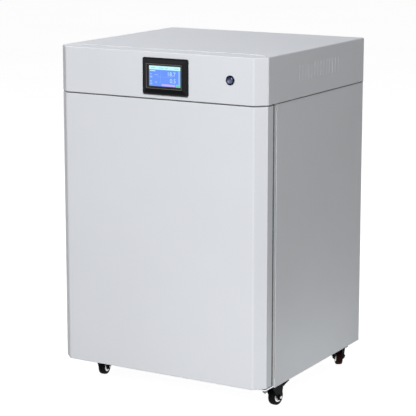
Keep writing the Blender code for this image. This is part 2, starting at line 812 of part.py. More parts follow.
def insulation():
    side = INNER_HALF - TRAY_SHEET - GAP
    low = (-side, Y_CASE + TRAY_SHEET + GAP, Z_BODY + TRAY_SHEET + GAP)
    high = (side, Y_REAR - FLANGE_DEPTH - TRAY_SHEET - 2 * GAP, Z_DECK - CASE_SHEET - GAP)
    foam = block("insulation", low, high)
    room = LINER_SHEET + GAP
    rebate = REBATE_HALF + FRAME_SHEET + GAP
    cavity = blocks("chamber_room", [
        ((-CHAMBER_HALF - room, Y_CASE - THROUGH, Z_CHAMBER - room),
         (CHAMBER_HALF + room, Y_CHAMBER_BACK + LINER_SHEET + GAP, Z_CEILING + room))])
    recess = block("rebate_room",
                   (-rebate, Y_CASE - THROUGH, REBATE_LOW - FRAME_SHEET - GAP),
                   (rebate, Y_MOUTH + FRAME_SHEET + GAP, REBATE_HIGH + FRAME_SHEET + GAP))
    motor = prism("motor_room", [circle(MOTOR_RADIUS + GAP * 3, 24, (0.0, FAN_Z))],
                  Y_CHAMBER_BACK, Y_CHAMBER_BACK + LINER_SHEET + MOTOR_DEPTH + 4 * GAP, "Y")
    tail = block("bracket_room", (HINGE_X - BRACKET_WIDTH, Y_CASE - THROUGH, Z_BODY),
                 (INNER_HALF, y_at(BRACKET_REACH) + GAP, Z_BODY + BRACKET_LIFT + BRACKET_SHEET + GAP))
    port = port_hole("foam_port_hole", Y_CHAMBER_BACK)
    return paint(cut(foam, cavity, recess, motor, tail, port), FOAM)


def chamber_liner():
    low = (-CHAMBER_HALF, Y_LINER, Z_CHAMBER)
    high = (CHAMBER_HALF, Y_CHAMBER_BACK, Z_CEILING)
    liner = pan("chamber_liner", low, high, (0, -1, 0), LINER_SHEET, CHAMBER_CORNER, 3, True)
    shaft = prism("shaft_hole", [circle(FAN_SHAFT_RADIUS + FAN_SHAFT_PLAY, 16, (0.0, FAN_Z))],
                  Y_CHAMBER_BACK - THROUGH, Y_CHAMBER_BACK + THROUGH, "Y")
    hole = port_hole("liner_port_hole", Y_CHAMBER_BACK - THROUGH)
    return smooth(paint(unite(cut(liner, shaft, hole), shelf_rails()), STEEL), 20)


def shelf_rails():
    """Angle rails on both walls of the liner, at each shelf's level."""
    front = y_at(SHELF_FRONT)
    rails = []
    for level in SHELF_LEVELS:
        low = level - RAIL_SHEET - GAP
        profile = [(CHAMBER_HALF + SUNK, low), (CHAMBER_HALF + SUNK, low + RAIL_HEIGHT),
                   (RAIL_FACE, low + RAIL_HEIGHT), (RAIL_FACE, low + RAIL_SHEET),
                   (RAIL_FACE - RAIL_SEAT, low + RAIL_SHEET), (RAIL_FACE - RAIL_SEAT, low)]
        for side in (-1, 1):
            outline = [(side * x, z) for x, z in profile]
            name = "rail_%d_%d" % (round(level * 1000), side)
            rails.append(prism(name, [outline], front, front + SHELF_DEPTH, "Y"))
    return gather(*rails)


def shelf(name, level):
    half = RAIL_FACE - GAP
    front = y_at(SHELF_FRONT)
    item = pan(name, (-half, front, level), (half, front + SHELF_DEPTH, level + SHELF_LIP),
               (0, 0, 1), SHELF_SHEET)
    across = 2 * half / (SHELF_SLOT_COLUMNS + 1)
    along = SHELF_DEPTH / SHELF_SLOT_ROWS
    slot_x, slot_y = across * SHELF_SLOT_HALVES[0], along * SHELF_SLOT_HALVES[1]
    slots = []
    for column in range(SHELF_SLOT_COLUMNS):
        x = -half + across * (column + 1)
        for row in range(SHELF_SLOT_ROWS):
            y = front + along * (row + 0.5)
            slots.append(((x - slot_x, y - slot_y, level - THROUGH),
                          (x + slot_x, y + slot_y, level + THROUGH)))
    return paint(cut(item, blocks(name + "_slots", slots)), STEEL)


def water_tray():
    width, depth, height = WATER_TRAY
    front = y_at(WATER_TRAY_FRONT)
    low = (-width / 2, front, Z_CHAMBER + GAP)
    item = pan("water_tray", low, (width / 2, front + depth, Z_CHAMBER + GAP + height),
               (0, 0, 1), LINER_SHEET, WATER_TRAY_CORNER, 2)
    return smooth(paint(item, STEEL), 20)


def air_duct_panel():
    half = DUCT_WIDTH / 2
    low, high = Z_CHAMBER + DUCT_LOW, Z_CEILING - DUCT_HIGH
    item = pan("air_duct_panel", (-half, Y_DUCT, low), (half, Y_CHAMBER_BACK - GAP, high),
               (0, 1, 0), LINER_SHEET)
    eye = prism("intake_hole", [circle(INTAKE_RADIUS, 24, (0.0, FAN_Z))],
                Y_DUCT - THROUGH, Y_DUCT + THROUGH, "Y")
    pitch = DUCT_WIDTH / (DUCT_SLOT_COUNT + 1)
    slots = []
    for step in range(DUCT_SLOT_COUNT):
        x = -half + pitch * (step + 1)
        slots.append(((x - pitch * DUCT_SLOT_HALF, Y_DUCT - THROUGH, low + DUCT_SLOT_LOW),
                      (x + pitch * DUCT_SLOT_HALF, Y_DUCT + THROUGH, low + DUCT_SLOT_HIGH)))
    return paint(cut(item, eye, blocks("duct_slots", slots)), STEEL)


def blade_outline(angle):
    """One backward-curved blade, as a strip of even thickness round its middle line."""
    steps = 4
    middle = []
    for step in range(steps + 1):
        share = step / steps
        reach = FAN_EYE_RADIUS + (FAN_RADIUS - FAN_EYE_RADIUS) * share
        turn = angle - FAN_BLADE_SWEEP * share
        middle.append(Vector((reach * math.cos(turn), FAN_Z + reach * math.sin(turn))))
    one_side, other_side = [], []
    for step, point in enumerate(middle):
        ahead = middle[min(step + 1, steps)] - middle[max(step - 1, 0)]
        normal = Vector((-ahead.y, ahead.x)).normalized() * FAN_BLADE_SHEET / 2
        one_side.append(tuple(point + normal))
        other_side.append(tuple(point - normal))
    return one_side + other_side[::-1]


def fan_rotor():
    """Centrifugal blower wheel: backplate and hub with curved blades, on the motor's shaft."""
    front = Y_DUCT + LINER_SHEET + FAN_FRONT_PLAY
    plate = Y_CHAMBER_BACK - FAN_REAR_PLAY
    back = plate + FAN_PLATE_SHEET
    shaft_end = Y_CHAMBER_BACK + LINER_SHEET + FAN_SHAFT_REACH
    taper, nose = FAN_NOSE
    profile = [(0.0, shaft_end), (FAN_SHAFT_RADIUS, shaft_end), (FAN_SHAFT_RADIUS, back),
               (FAN_RADIUS, back), (FAN_RADIUS, plate), (FAN_HUB_RADIUS + FAN_HUB_FLARE, plate),
               (FAN_HUB_RADIUS, plate - FAN_HUB_FLARE), (FAN_HUB_RADIUS, front + nose),
               (FAN_HUB_RADIUS - taper, front), (0.0, front - FAN_NOSE_DOME)]
    place = (0.0, 0.0, FAN_Z)
    rotor = turned("fan_rotor", profile, 24, place, "Y")
    loops = [blade_outline(2 * math.pi * step / FAN_BLADES) for step in range(FAN_BLADES)]
    blades = prism("fan_blades", loops, front, plate + SUNK, "Y")
    return smooth(paint(unite(rotor, blades), BLACK))


def fan_motor():
    start = Y_CHAMBER_BACK + LINER_SHEET + GAP
    end = start + MOTOR_DEPTH
    bore = FAN_SHAFT_RADIUS + GAP
    bore_end = Y_CHAMBER_BACK + LINER_SHEET + FAN_SHAFT_REACH + 2 * GAP
    body, flange = MOTOR_RADIUS * MOTOR_BODY, start + MOTOR_FLANGE
    profile = [(0.0, end), (MOTOR_RADIUS * MOTOR_END, end), (body, end - MOTOR_SHOULDER),
               (body, flange), (MOTOR_RADIUS, flange),
               (MOTOR_RADIUS, start), (bore, start), (bore, bore_end), (0.0, bore_end)]
    return smooth(paint(turned("fan_motor", profile, 20, (0.0, 0.0, FAN_Z), "Y"), ZINC))


def inlet_filter():
    """Pleated ring cartridge in front of the blower's intake."""
    pleats = []
    for step in range(2 * FILTER_PLEATS):
        reach = FILTER_RADIUS - (PLEAT_DEPTH if step % 2 else 0.0)
        angle = math.pi * step / FILTER_PLEATS
        pleats.append((reach * math.cos(angle), FAN_Z + reach * math.sin(angle)))
    end = Y_DUCT - GAP
    item = prism("inlet_filter", [pleats, circle(FILTER_BORE, 20, (0.0, FAN_Z))],
                 end - FILTER_DEPTH, end, "Y")
    lid = prism("filter_lid", [circle(FILTER_RADIUS + FILTER_LID_LIP, 24, (0.0, FAN_Z))],
                end - FILTER_DEPTH - FILTER_LID_SHEET, end - FILTER_DEPTH + SUNK, "Y")
    return paint(unite(item, lid), SILICONE)


def gas_sensor(name, x):
    """Screened sensor head that hangs from the ceiling."""
    top = Z_CEILING - GAP
    radius = SENSOR_RADIUS
    share, sheet = SENSOR_FLANGE
    tip = top - SENSOR_LENGTH
    profile = [(0.0, top), (radius * share, top), (radius * share, top - sheet),
               (radius, top - sheet), (radius, tip + SENSOR_TIP), (radius - SENSOR_TIP, tip),
               (0.0, tip)]
    return smooth(paint(turned(name, profile, 16, (x, y_at(SENSOR_SETBACK), 0.0)), ZINC))


def temperature_probe():
    end = Y_DUCT - GAP
    radius = PROBE_RADIUS
    share, sheet = PROBE_FLANGE
    tip = end - PROBE_LENGTH
    profile = [(0.0, end), (radius * share, end), (radius * share, end - sheet),
               (radius, end - PROBE_NECK), (radius, tip + radius), (radius * PROBE_TIP, tip),
               (0.0, tip)]
    place = (DUCT_WIDTH / 2 - PROBE_INSET, 0.0, FAN_Z)
    return smooth(paint(turned("temperature_probe", profile, 12, place, "Y"), STEEL))


def access_port_sleeve():
    outer, inner = PORT_RADIUS + PORT_WALL, PORT_RADIUS
    start, end = Y_CHAMBER_BACK + GAP, Y_REAR - GAP
    profile = [(inner, end), (outer, end), (outer, start), (inner, start)]
    place = (-PORT_OFFSET, 0.0, PORT_HEIGHT)
    return smooth(paint(turned("access_port_sleeve", profile, 20, place, "Y"), SILICONE))


def access_port_plug():
    """Stopper in the outer end of the port."""
    neck = PORT_RADIUS - GAP
    lip = PORT_RADIUS + PORT_WALL + PLUG_LIP
    start, end = Y_REAR + GAP, Y_REAR + GAP + PLUG_FLANGE
    tip = start - PLUG_LENGTH
    taper, edge = PLUG_ROUNDING
    outer = [(0.0, end), (lip - taper, end), (lip, end - edge), (lip, start), (neck, start),
             (neck - taper, tip), (0.0, tip)]
    place = (-PORT_OFFSET, 0.0, PORT_HEIGHT)
    return smooth(paint(turned("access_port_plug", outer, 20, place, "Y"), SILICONE))


def glass_outline(inset=0.0):
    low, high = Z_CHAMBER - GLASS_OVERLAP, Z_CEILING + GLASS_OVERLAP
    return frame_ring(GLASS_HALF - inset, low + inset, high - inset, GLASS_CORNER - inset * 0.5)


def glass_seal():
    outer = glass_outline(SEAL_INSET)
    inner = glass_outline(SEAL_INSET + SEAL_WIDTH)
    item = prism("glass_seal", [outer, inner], Y_GLASS + GLASS_SHEET + GAP, Y_MOUTH - GAP, "Y")
    return paint(item, SILICONE)


def glass_door():
    hole = circle(LATCH_SHAFT + GAP, 16, (LATCH_X, Z_GLASS_MIDDLE))
    item = prism("glass_door", [glass_outline(), hole], Y_GLASS, Y_GLASS + GLASS_SHEET, "Y")
    set_origin(item, (GLASS_AXIS_X, Y_GLASS_AXIS, 0.0))
    return paint(item, GLASS)


def glass_hinge_levels():
    return [Z_GLASS_MIDDLE + side * GLASS_HINGE_OFFSET for side in (-1, 1)]


def glass_hinge_clip(name, level):
    """Barrel round a hinge pin with a leaf on the front of the glass."""
    reach = GLASS_HINGE_HEIGHT / 2
    bore = GLASS_PIN_RADIUS + GAP
    profile = [(bore, reach), (GLASS_HINGE_RADIUS, reach), (GLASS_HINGE_RADIUS, -reach),
               (bore, -reach)]
    item = turned(name, profile, 16, (GLASS_AXIS_X, Y_GLASS_AXIS, level))
    leaf = block(name + "_leaf", (GLASS_HALF - CLIP_REACH, Y_GLASS_AXIS, level - reach),
                 (GLASS_AXIS_X - bore - CLIP_PLAY, Y_GLASS - GAP, level + reach))
    return smooth(paint(unite(item, leaf), STEEL))


def glass_hinge_posts():
    """Pins held between pairs of ears that are welded to the side of the rebate."""
    reach = GLASS_HINGE_HEIGHT / 2 + GAP
    ears, pins = [], []
    for number, level in enumerate(glass_hinge_levels()):
        for side in (-1, 1):
            near, far = level + side * reach, level + side * (reach + GLASS_EAR)
            ears.append(((GLASS_AXIS_X - GLASS_EAR_HALF, Y_GLASS_AXIS - GLASS_EAR_HALF,
                          min(near, far)),
                         (REBATE_HALF + SUNK, Y_GLASS_AXIS + GLASS_EAR_HALF, max(near, far))))
        outline = circle(GLASS_PIN_RADIUS, 12, (GLASS_AXIS_X, Y_GLASS_AXIS))
        end = reach + GLASS_EAR + GLASS_PIN_PROUD
        pins.append(prism("post_pin_%d" % number, [outline], level - end, level + end))
    return unite(blocks("glass_hinge_posts", ears), gather(*pins))


def glass_latch():
    """Turning knob with a tongue, on a shaft through the glass with a nut behind it."""
    face = Y_GLASS - GAP
    front = face - TONGUE_SHEET - LATCH_HEIGHT
    nut = Y_GLASS + GLASS_SHEET + GAP
    lip, nut_end = LATCH_SHAFT + LATCH_NUT[0], nut + LATCH_NUT[1]
    profile = [(0.0, nut_end), (lip, nut_end), (lip, nut),
               (LATCH_SHAFT, nut), (LATCH_SHAFT, face), (LATCH_RADIUS, face),
               (LATCH_RADIUS, front + LATCH_ROUNDING), (LATCH_RADIUS - LATCH_ROUNDING, front),
               (0.0, front)]
    place = (LATCH_X, 0.0, Z_GLASS_MIDDLE)
    knob = turned("glass_latch", profile, 20, place, "Y")
    half = TONGUE_WIDTH / 2
    tongue = block("latch_tongue",
                   (LATCH_X - half, face - TONGUE_SHEET, Z_GLASS_MIDDLE - TONGUE_LENGTH),
                   (LATCH_X + half, face - SUNK, Z_GLASS_MIDDLE - LATCH_SHAFT))
    reach = LATCH_RADIUS * LATCH_GRIP_SHARE
    grip = block("latch_grip",
                 (LATCH_X - LATCH_GRIP_HALF, front - LATCH_ROUNDING, Z_GLASS_MIDDLE - reach),
                 (LATCH_X + LATCH_GRIP_HALF, front + LATCH_GRIP_SUNK, Z_GLASS_MIDDLE + reach))
    return smooth(paint(unite(knob, tongue, grip), BLACK))


def latch_keeper():
    """Hook on the side of the rebate that the tongue turns behind."""
    wall = -REBATE_HALF - SUNK
    lip_back = Y_GLASS - GAP - TONGUE_SHEET - GAP
    lip_front = lip_back - KEEPER_SHEET
    tip = LATCH_X - TONGUE_LENGTH + KEEPER_OVERLAP
    outline = [(wall, lip_front), (tip, lip_front), (tip, lip_back),
               (wall + KEEPER_WALL, lip_back), (wall + KEEPER_WALL, Y_GLASS + GLASS_SHEET),
               (wall, Y_GLASS + GLASS_SHEET)]
    return prism("latch_keeper", [outline], Z_GLASS_MIDDLE - KEEPER_HALF,
                 Z_GLASS_MIDDLE + KEEPER_HALF)


def hinge_holes(name, radius, low, high):
    outline = circle(radius, 24, (HINGE_X, Y_HINGE))
    return prism(name, [outline], low, high)


def pull_room(name, grow):
    y = y_at(PULL_SETBACK)
    reach = PULL_DEPTH + grow
    half = PULL_WIDTH / 2 + grow
    return block(name, (-BODY_HALF - THROUGH, y - half, PULL_CENTRE_Z - PULL_HEIGHT / 2 - grow),
                 (-BODY_HALF + reach, y + half, PULL_CENTRE_Z + PULL_HEIGHT / 2 + grow))


def hang_on_hinge(item):
    return set_origin(item, (HINGE_X, Y_HINGE, 0.0))


def door_skin():
    outline = front_outline(BODY_HALF, DOOR_DEPTH)
    item = open_shell("door_skin", outline, Z_DOOR, Z_DOOR_TOP, DOOR_SHEET, FOLD_RADIUS)
    bores = gather(hinge_holes("door_bores", BUSH_RADIUS + GAP, Z_DOOR - THROUGH, Z_DOOR + THROUGH),
                   hinge_holes("door_bore_top", BUSH_RADIUS + GAP,
                               Z_DOOR_TOP - THROUGH, Z_DOOR_TOP + THROUGH))
    cut(item, bores, pull_room("pull_window", GAP))
    frozen(item)
    return smooth(paint(hang_on_hinge(item), WHITE), 20)


def door_pull():
    """Moulded cup set into the free side of the door, for the fingers."""
    y = y_at(PULL_SETBACK)
    half = PULL_WIDTH / 2
    low = (-BODY_HALF, y - half, PULL_CENTRE_Z - PULL_HEIGHT / 2)
    high = (-BODY_HALF + PULL_DEPTH, y + half, PULL_CENTRE_Z + PULL_HEIGHT / 2)
    item = pan("door_pull", low, high, (-1, 0, 0), PULL_WALL, PULL_CORNER, 2)
    return smooth(paint(hang_on_hinge(item), BLACK), 20)


def door_core():
    inset = DOOR_SHEET + GAP
    back = DOOR_DEPTH - DOOR_LINER_SHEET - 2 * GAP
    outline = front_outline(BODY_HALF, back, inset)
    low, high = Z_DOOR + inset, Z_DOOR_TOP - inset
    item = prism("door_core", [outline], low, high)
    bores = gather(hinge_holes("core_bores", BUSH_RADIUS + GAP, Z_DOOR - THROUGH,
                               Z_DOOR + BUSH_DEPTH + GAP),
                   hinge_holes("core_bore_top", BUSH_RADIUS + GAP,
                               Z_DOOR_TOP - BUSH_DEPTH - GAP, Z_DOOR_TOP + THROUGH))
    margin = DOOR_DISH_MARGIN - 2 * GAP
    dish = block("core_dish",
                 (margin - BODY_HALF, y_at(back - DOOR_DISH_DEPTH), Z_DOOR + margin),
                 (BODY_HALF - margin, y_at(back) + THROUGH, Z_DOOR_TOP - margin))
    cut(item, bores, pull_room("pull_cavity", GAP), dish)
    return paint(hang_on_hinge(frozen(item)), FOAM)


def door_ring(margin, radius):
    return frame_ring(BODY_HALF - margin, Z_DOOR + margin, Z_DOOR_TOP - margin, radius)


def door_liner():
    """Inner sheet of the door with a shallow dish inside the gasket."""
    face = Y_DOOR_BACK - GAP
    slope = DOOR_DISH_DEPTH
    rings = [(door_ring(DOOR_SHEET + GAP, LINER_EDGE_CORNER), face),
             (door_ring(DOOR_DISH_MARGIN, DISH_CORNER), face),
             (door_ring(DOOR_DISH_MARGIN + slope, DISH_FLOOR_CORNER), face - DOOR_DISH_DEPTH)]
    item = thicken(lofted("door_liner", rings, cap=True, facing=(0, 1, 0)), DOOR_LINER_SHEET)
    return smooth(paint(hang_on_hinge(item), WHITE), 20)


def door_gasket():
    """Magnetic bellows gasket: a ring with a base, a waist and a sealing face."""
    start, end = Y_DOOR_BACK, Y_FRAME - GAP
    half = [(0.0, start), (0.0, start + GASKET_BASE), (GASKET_WAIST, start + GASKET_WAIST_HEIGHT),
            (GASKET_ROUNDING, end - GASKET_ROUNDING), (2 * GASKET_ROUNDING, end)]
    profile = half + [(GASKET_WIDTH - margin, y) for margin, y in reversed(half)]
    rings = [(door_ring(GASKET_MARGIN + margin, GASKET_CORNER), y) for margin, y in profile]
    item = lofted("door_gasket", rings, close=True)
    return smooth(paint(hang_on_hinge(item), RUBBER), 20)


def door_hinge_bush(name, face, inward, flange):
    """Flanged bush pressed into the door from the given face."""
    bore = HINGE_PIN_RADIUS + GAP
    deep = HINGE_PIN_DEPTH + 2 * GAP
    profile = [(0.0, BUSH_DEPTH), (BUSH_RADIUS, BUSH_DEPTH), (BUSH_RADIUS, -GAP),
               (BUSH_FLANGE_RADIUS, -GAP), (BUSH_FLANGE_RADIUS, -flange), (bore, -flange),
               (bore, deep), (0.0, deep)]
    if inward < 0:
        profile = [(radius, -height) for radius, height in reversed(profile)]
    return smooth(paint(turned(name, profile, 16, (HINGE_X, Y_HINGE, face)), BLACK))


def door_hinge_bushes():
    bracket_top = Z_BODY + BRACKET_LIFT + BRACKET_SHEET
    door_hinge_bush("door_bush_lower", Z_DOOR, 1, Z_DOOR - bracket_top - GAP)
    door_hinge_bush("door_bush_upper", Z_DOOR_TOP, -1, DOOR_SEAM / 2)


def bracket_outline(front_tip):
    """Plan of a hinge bracket: a rounded tip round the pin and a straight tail on the cabinet."""
    inner = HINGE_X - BRACKET_INNER
    tail = HINGE_X - BRACKET_WIDTH + BRACKET_TAIL_PLAY
    outer = COVER_INNER_HALF - CASE_SHEET - 2 * GAP
    behind = INNER_HALF - TRAY_SHEET - 2 * GAP
    taper_x, taper_y = BRACKET_TAPER
    points = [(inner, front_tip), (outer - taper_x, front_tip + taper_y), (outer, Y_CASE - 2 * GAP),
              (behind, Y_CASE - GAP), (behind, y_at(BRACKET_REACH)), (tail, y_at(BRACKET_REACH)),
              (tail, Y_CASE - BRACKET_STEP), (inner, Y_HINGE + BRACKET_NECK)]
    return filleted(points, BRACKET_CORNERS, 2)


def hinge_bracket_lower():
    low = Z_BODY + BRACKET_LIFT
    high = low + BRACKET_SHEET
    item = prism("hinge_bracket_lower", [bracket_outline(Y_HINGE - BRACKET_TIP)], low, high)
    pin_top, pin_end = Z_DOOR + HINGE_PIN_DEPTH, low - HINGE_THREAD_END
    radius, edge = HINGE_PIN_RADIUS, HINGE_PIN_ROUNDING
    taper, rise = HINGE_THREAD_TAPER
    pin = [(0.0, pin_top), (radius - edge, pin_top), (radius, pin_top - edge),
           (radius, pin_end + rise), (radius - taper, pin_end), (0.0, pin_end)]
    across, nut_end = HINGE_NUT[0], low - HINGE_NUT[1]
    taper, rise = HINGE_NUT_TAPER
    nut = [(0.0, low + SUNK), (across, low + SUNK), (across, nut_end + rise),
           (across - taper, nut_end), (0.0, nut_end)]
    place = (HINGE_X, Y_HINGE, 0.0)
    unite(item, turned("lower_pin", pin, 16, place), turned("lower_nut", nut, 6, place))
    return smooth(paint(item, ZINC))


def hinge_bracket_upper():
    low = Z_SEAM + CASE_SHEET + GAP
    high = low + BRACKET_SHEET
    item = prism("hinge_bracket_upper", [bracket_outline(Y_HINGE - BRACKET_TIP_UPPER)], low, high)
    radius, head, tip = HINGE_PIN_RADIUS, HINGE_PIN_HEAD, Z_DOOR_TOP - HINGE_PIN_DEPTH
    pin = [(0.0, high + head), (radius + head, high + head), (radius + head, high - SUNK),
           (radius, high - SUNK), (radius, tip + HINGE_PIN_ROUNDING),
           (radius - HINGE_PIN_ROUNDING, tip), (0.0, tip)]
    return smooth(paint(unite(item, turned("upper_pin", pin, 16, (HINGE_X, Y_HINGE, 0.0))), ZINC))


def fascia_panel():
    half = COVER_INNER_HALF
    outline = front_outline(half, FASCIA_DEPTH)
    item = open_shell("fascia_panel", outline, Z_SEAM, Z_TOP - FASCIA_DROP, CASE_SHEET, FOLD_RADIUS)
    wide, tall = DISPLAY_CUTOUT
    opening = rounded_rectangle(wide / 2, tall / 2, DISPLAY_CUTOUT_CORNER, 1,
                                (DISPLAY_X, DISPLAY_Z))
    window = prism("display_window", [opening], Y_FRONT - THROUGH, Y_FRONT + THROUGH, "Y")
    button = prism("button_hole", [circle(BUTTON_BODY_RADIUS + GAP, 24, (BUTTON_X, BUTTON_Z))],
                   Y_FRONT - THROUGH, Y_FRONT + THROUGH, "Y")
    hinge = hinge_holes("fascia_hinge_hole", HINGE_PIN_RADIUS + 4 * GAP,
                        Z_SEAM - THROUGH, Z_SEAM + CASE_SHEET + GAP / 2)
    return smooth(paint(cut(item, window, button, hinge), WHITE), 20)


def cover_slots():
    slots = []
    for step in range(SLOT_COUNT):
        y = y_at(SLOT_FIRST + SLOT_PITCH * step)
        slots.append(((-HALF - THROUGH, y - SLOT_WIDTH / 2, Z_SEAM + SLOT_LOW),
                      (HALF + THROUGH, y + SLOT_WIDTH / 2, Z_SEAM + SLOT_HIGH)))
    return blocks("cover_slots", slots)


def top_cover():
    """Roof and both sides in one folded sheet, with a flange under each side."""
    inner = HALF - COVER_FLANGE
    corners = [(-inner, Z_SEAM), (-HALF, Z_SEAM), (-HALF, Z_TOP), (HALF, Z_TOP), (HALF, Z_SEAM),
               (inner, Z_SEAM)]
    radii = [0, FOLD_RADIUS, COVER_FOLD_RADIUS, COVER_FOLD_RADIUS, FOLD_RADIUS, 0]
    start = y_at(CHAMFER)
    item = folded("top_cover", filleted(corners, radii, 4, closed=False), start, Y_REAR, CASE_SHEET)
    corner_x = HALF - COVER_FOLD_RADIUS
    step_y = y_at(COVER_SETBACK)
    front = [(-corner_x, start - THROUGH), (corner_x, start - THROUGH), (corner_x, start),
             (HALF - COVER_CORNER, step_y), (COVER_CORNER - HALF, step_y), (-corner_x, start)]
    notch = prism("roof_notch", [front], Z_TOP - THROUGH, Z_TOP + THROUGH)
    inside = HALF - CASE_SHEET
    ends = [((-inside, start - THROUGH, Z_SEAM - THROUGH),
             (inside, y_at(FASCIA_DEPTH) + 2 * GAP, Z_SEAM + CASE_SHEET + THROUGH))]
    cut(item, notch, blocks("flange_notch", ends), cover_slots())
    return smooth(paint(item, WHITE), 20)


def rear_control_cover():
    half = COVER_INNER_HALF - CORNER_PLAY
    low = (-half, Y_REAR - FLANGE_DEPTH, Z_SEAM + CASE_SHEET + GAP)
    high = (half, Y_REAR, Z_TOP - CASE_SHEET - CORNER_PLAY)
    item = pan("rear_control_cover", low, high, (0, -1, 0), CASE_SHEET)
    slots = []
    for step in range(REAR_SLOT_COUNT):
        x = REAR_SLOT_PITCH * (step - (REAR_SLOT_COUNT - 1) / 2) + REAR_SLOT_X
        slots.append(((x - REAR_SLOT_WIDTH / 2, Y_REAR - THROUGH,
                       Z_SEAM + SLOT_LOW - REAR_SLOT_DROP),
                      (x + REAR_SLOT_WIDTH / 2, Y_REAR + THROUGH, Z_SEAM + SLOT_HIGH)))
    wide, tall = MAINS_BODY
    mains_z = Z_SEAM + MAINS_HEIGHT
    slots.append(((MAINS_X - wide / 2 - GAP, Y_REAR - THROUGH, mains_z - tall / 2 - GAP),
                  (MAINS_X + wide / 2 + GAP, Y_REAR + THROUGH, mains_z + tall / 2 + GAP)))
    rims = [circle(INLET_NECK + GAP, 16, (INLET_X + side * INLET_PITCH, INLET_Z))
            for side in (-1, 0, 1)]
    holes = prism("inlet_holes", rims, Y_REAR - THROUGH, Y_REAR + THROUGH, "Y")
    return paint(cut(item, blocks("rear_openings", slots), holes), WHITE)


def display_ring(size, y, radius, offset=0.0):
    wide, tall = size
    outline = rounded_rectangle(wide / 2, tall / 2, radius, 2, (DISPLAY_X + offset, DISPLAY_Z))
    return outline, Y_FRONT + y


def hmi_bezel():
    """Display surround: a rim, a slope down to a ridge, and the pocket for the screen."""
    wide, tall = DISPLAY_SIZE
    ridge_wide, ridge_tall = DISPLAY_RIDGE
    shift = DISPLAY_RIDGE_OFFSET
    outer, inner = DISPLAY_CORNER, DISPLAY_INNER_CORNER
    front = -DISPLAY_PROUD
    slope_end = front + DISPLAY_RIDGE_DEPTH
    ridge = slope_end - DISPLAY_RIDGE_RISE
    rim, lip = 2 * DISPLAY_ROUNDING, 2 * DISPLAY_LIP
    rise, step = 2 * DISPLAY_RIDGE_RISE, 2 * DISPLAY_RIDGE_WIDTH
    rings = [
        display_ring((wide, tall), -GAP, outer),
        display_ring((wide, tall), front + DISPLAY_ROUNDING, outer),
        display_ring((wide - rim, tall - rim), front, inner),
        display_ring((wide - lip, tall - lip), front, inner),
        display_ring((ridge_wide, ridge_tall), slope_end, inner, shift),
        display_ring((ridge_wide - rise, ridge_tall - rise), ridge, inner, shift),
        display_ring((ridge_wide - step, ridge_tall - step), ridge, DISPLAY_CUTOUT_CORNER, shift),
        display_ring(SCREEN_SIZE, -SCREEN_SETBACK - SCREEN_EDGE_PLAY, SCREEN_CORNER, shift),
        display_ring(SCREEN_SIZE, -GAP, SCREEN_CORNER, shift),
    ]
    return smooth(paint(lofted("hmi_bezel", rings, close=True), BLACK), 20)


def hmi_screen():
    wide, tall = SCREEN_SIZE
    outline = rounded_rectangle(wide / 2 - GAP, tall / 2 - GAP, SCREEN_CORNER, 1,
                                (DISPLAY_X + DISPLAY_RIDGE_OFFSET, DISPLAY_Z))
    back = -GAP
    item = prism("hmi_screen", [outline], Y_FRONT + back - SCREEN_SHEET, Y_FRONT + back, "Y")
    return paint(item, BLUE)


def hmi_housing():
    wide, tall = DISPLAY_CUTOUT
    half_wide, half_tall = wide / 2 - HOUSING_PLAY, tall / 2 - HOUSING_PLAY
    item = block("hmi_housing",
                 (DISPLAY_X - half_wide, Y_FRONT + GAP / 3, DISPLAY_Z - half_tall),
                 (DISPLAY_X + half_wide, Y_FRONT + HOUSING_DEPTH, DISPLAY_Z + half_tall))
    return paint(bevelled(item, HOUSING_EDGE, 1), BLACK)


def power_switch():
    """Steel ring on the panel with the switch body behind it."""
    rear = Y_FRONT + SWITCH_DEPTH
    front = Y_FRONT - BUTTON_PROUD
    bore = BUTTON_RADIUS + GAP
    floor = Y_FRONT + BUTTON_SUNK + BUTTON_TRAVEL + 2 * GAP
    edge, edge_fall = BUTTON_RING_EDGE
    lip, lip_fall = BUTTON_RING_LIP
    profile = [(0.0, rear), (BUTTON_BODY_RADIUS, rear), (BUTTON_BODY_RADIUS, Y_FRONT - GAP),
               (BUTTON_RING_RADIUS, Y_FRONT - GAP), (BUTTON_RING_RADIUS, front + edge_fall),
               (BUTTON_RING_RADIUS - edge, front), (bore + lip, front), (bore, front + lip_fall),
               (bore, floor), (0.0, floor)]
    return smooth(paint(turned("power_switch", profile, 24, (BUTTON_X, 0.0, BUTTON_Z), "Y"), STEEL))


def power_button():
    rear = Y_FRONT + BUTTON_SUNK
    front = Y_FRONT - BUTTON_PROUD
    radius = BUTTON_RADIUS
    dome = [(radius * reach, front - BUTTON_DOME * rise) for reach, rise in BUTTON_DOME_STEPS]
    profile = [(0.0, rear), (radius, rear), (radius, front), *dome, (0.0, front - BUTTON_DOME)]
    return smooth(paint(turned("power_button", profile, 24, (BUTTON_X, 0.0, BUTTON_Z), "Y"), BLUE))


def power_supply():
    wide, deep, tall = POWER_SUPPLY
    x, y = POWER_SUPPLY_INSET - HALF, y_at(POWER_SUPPLY_SETBACK)
    item = block("power_supply", (x, y, Z_SEAM), (x + wide, y + deep, Z_SEAM + tall))
    notch = block("terminal_notch", (x - THROUGH, y - THROUGH, Z_SEAM + tall * TERMINAL_SHARE),
                  (x + wide + THROUGH, y + TERMINAL_DEPTH, Z_SEAM + tall + THROUGH))
    return paint(cut(item, notch), ZINC)


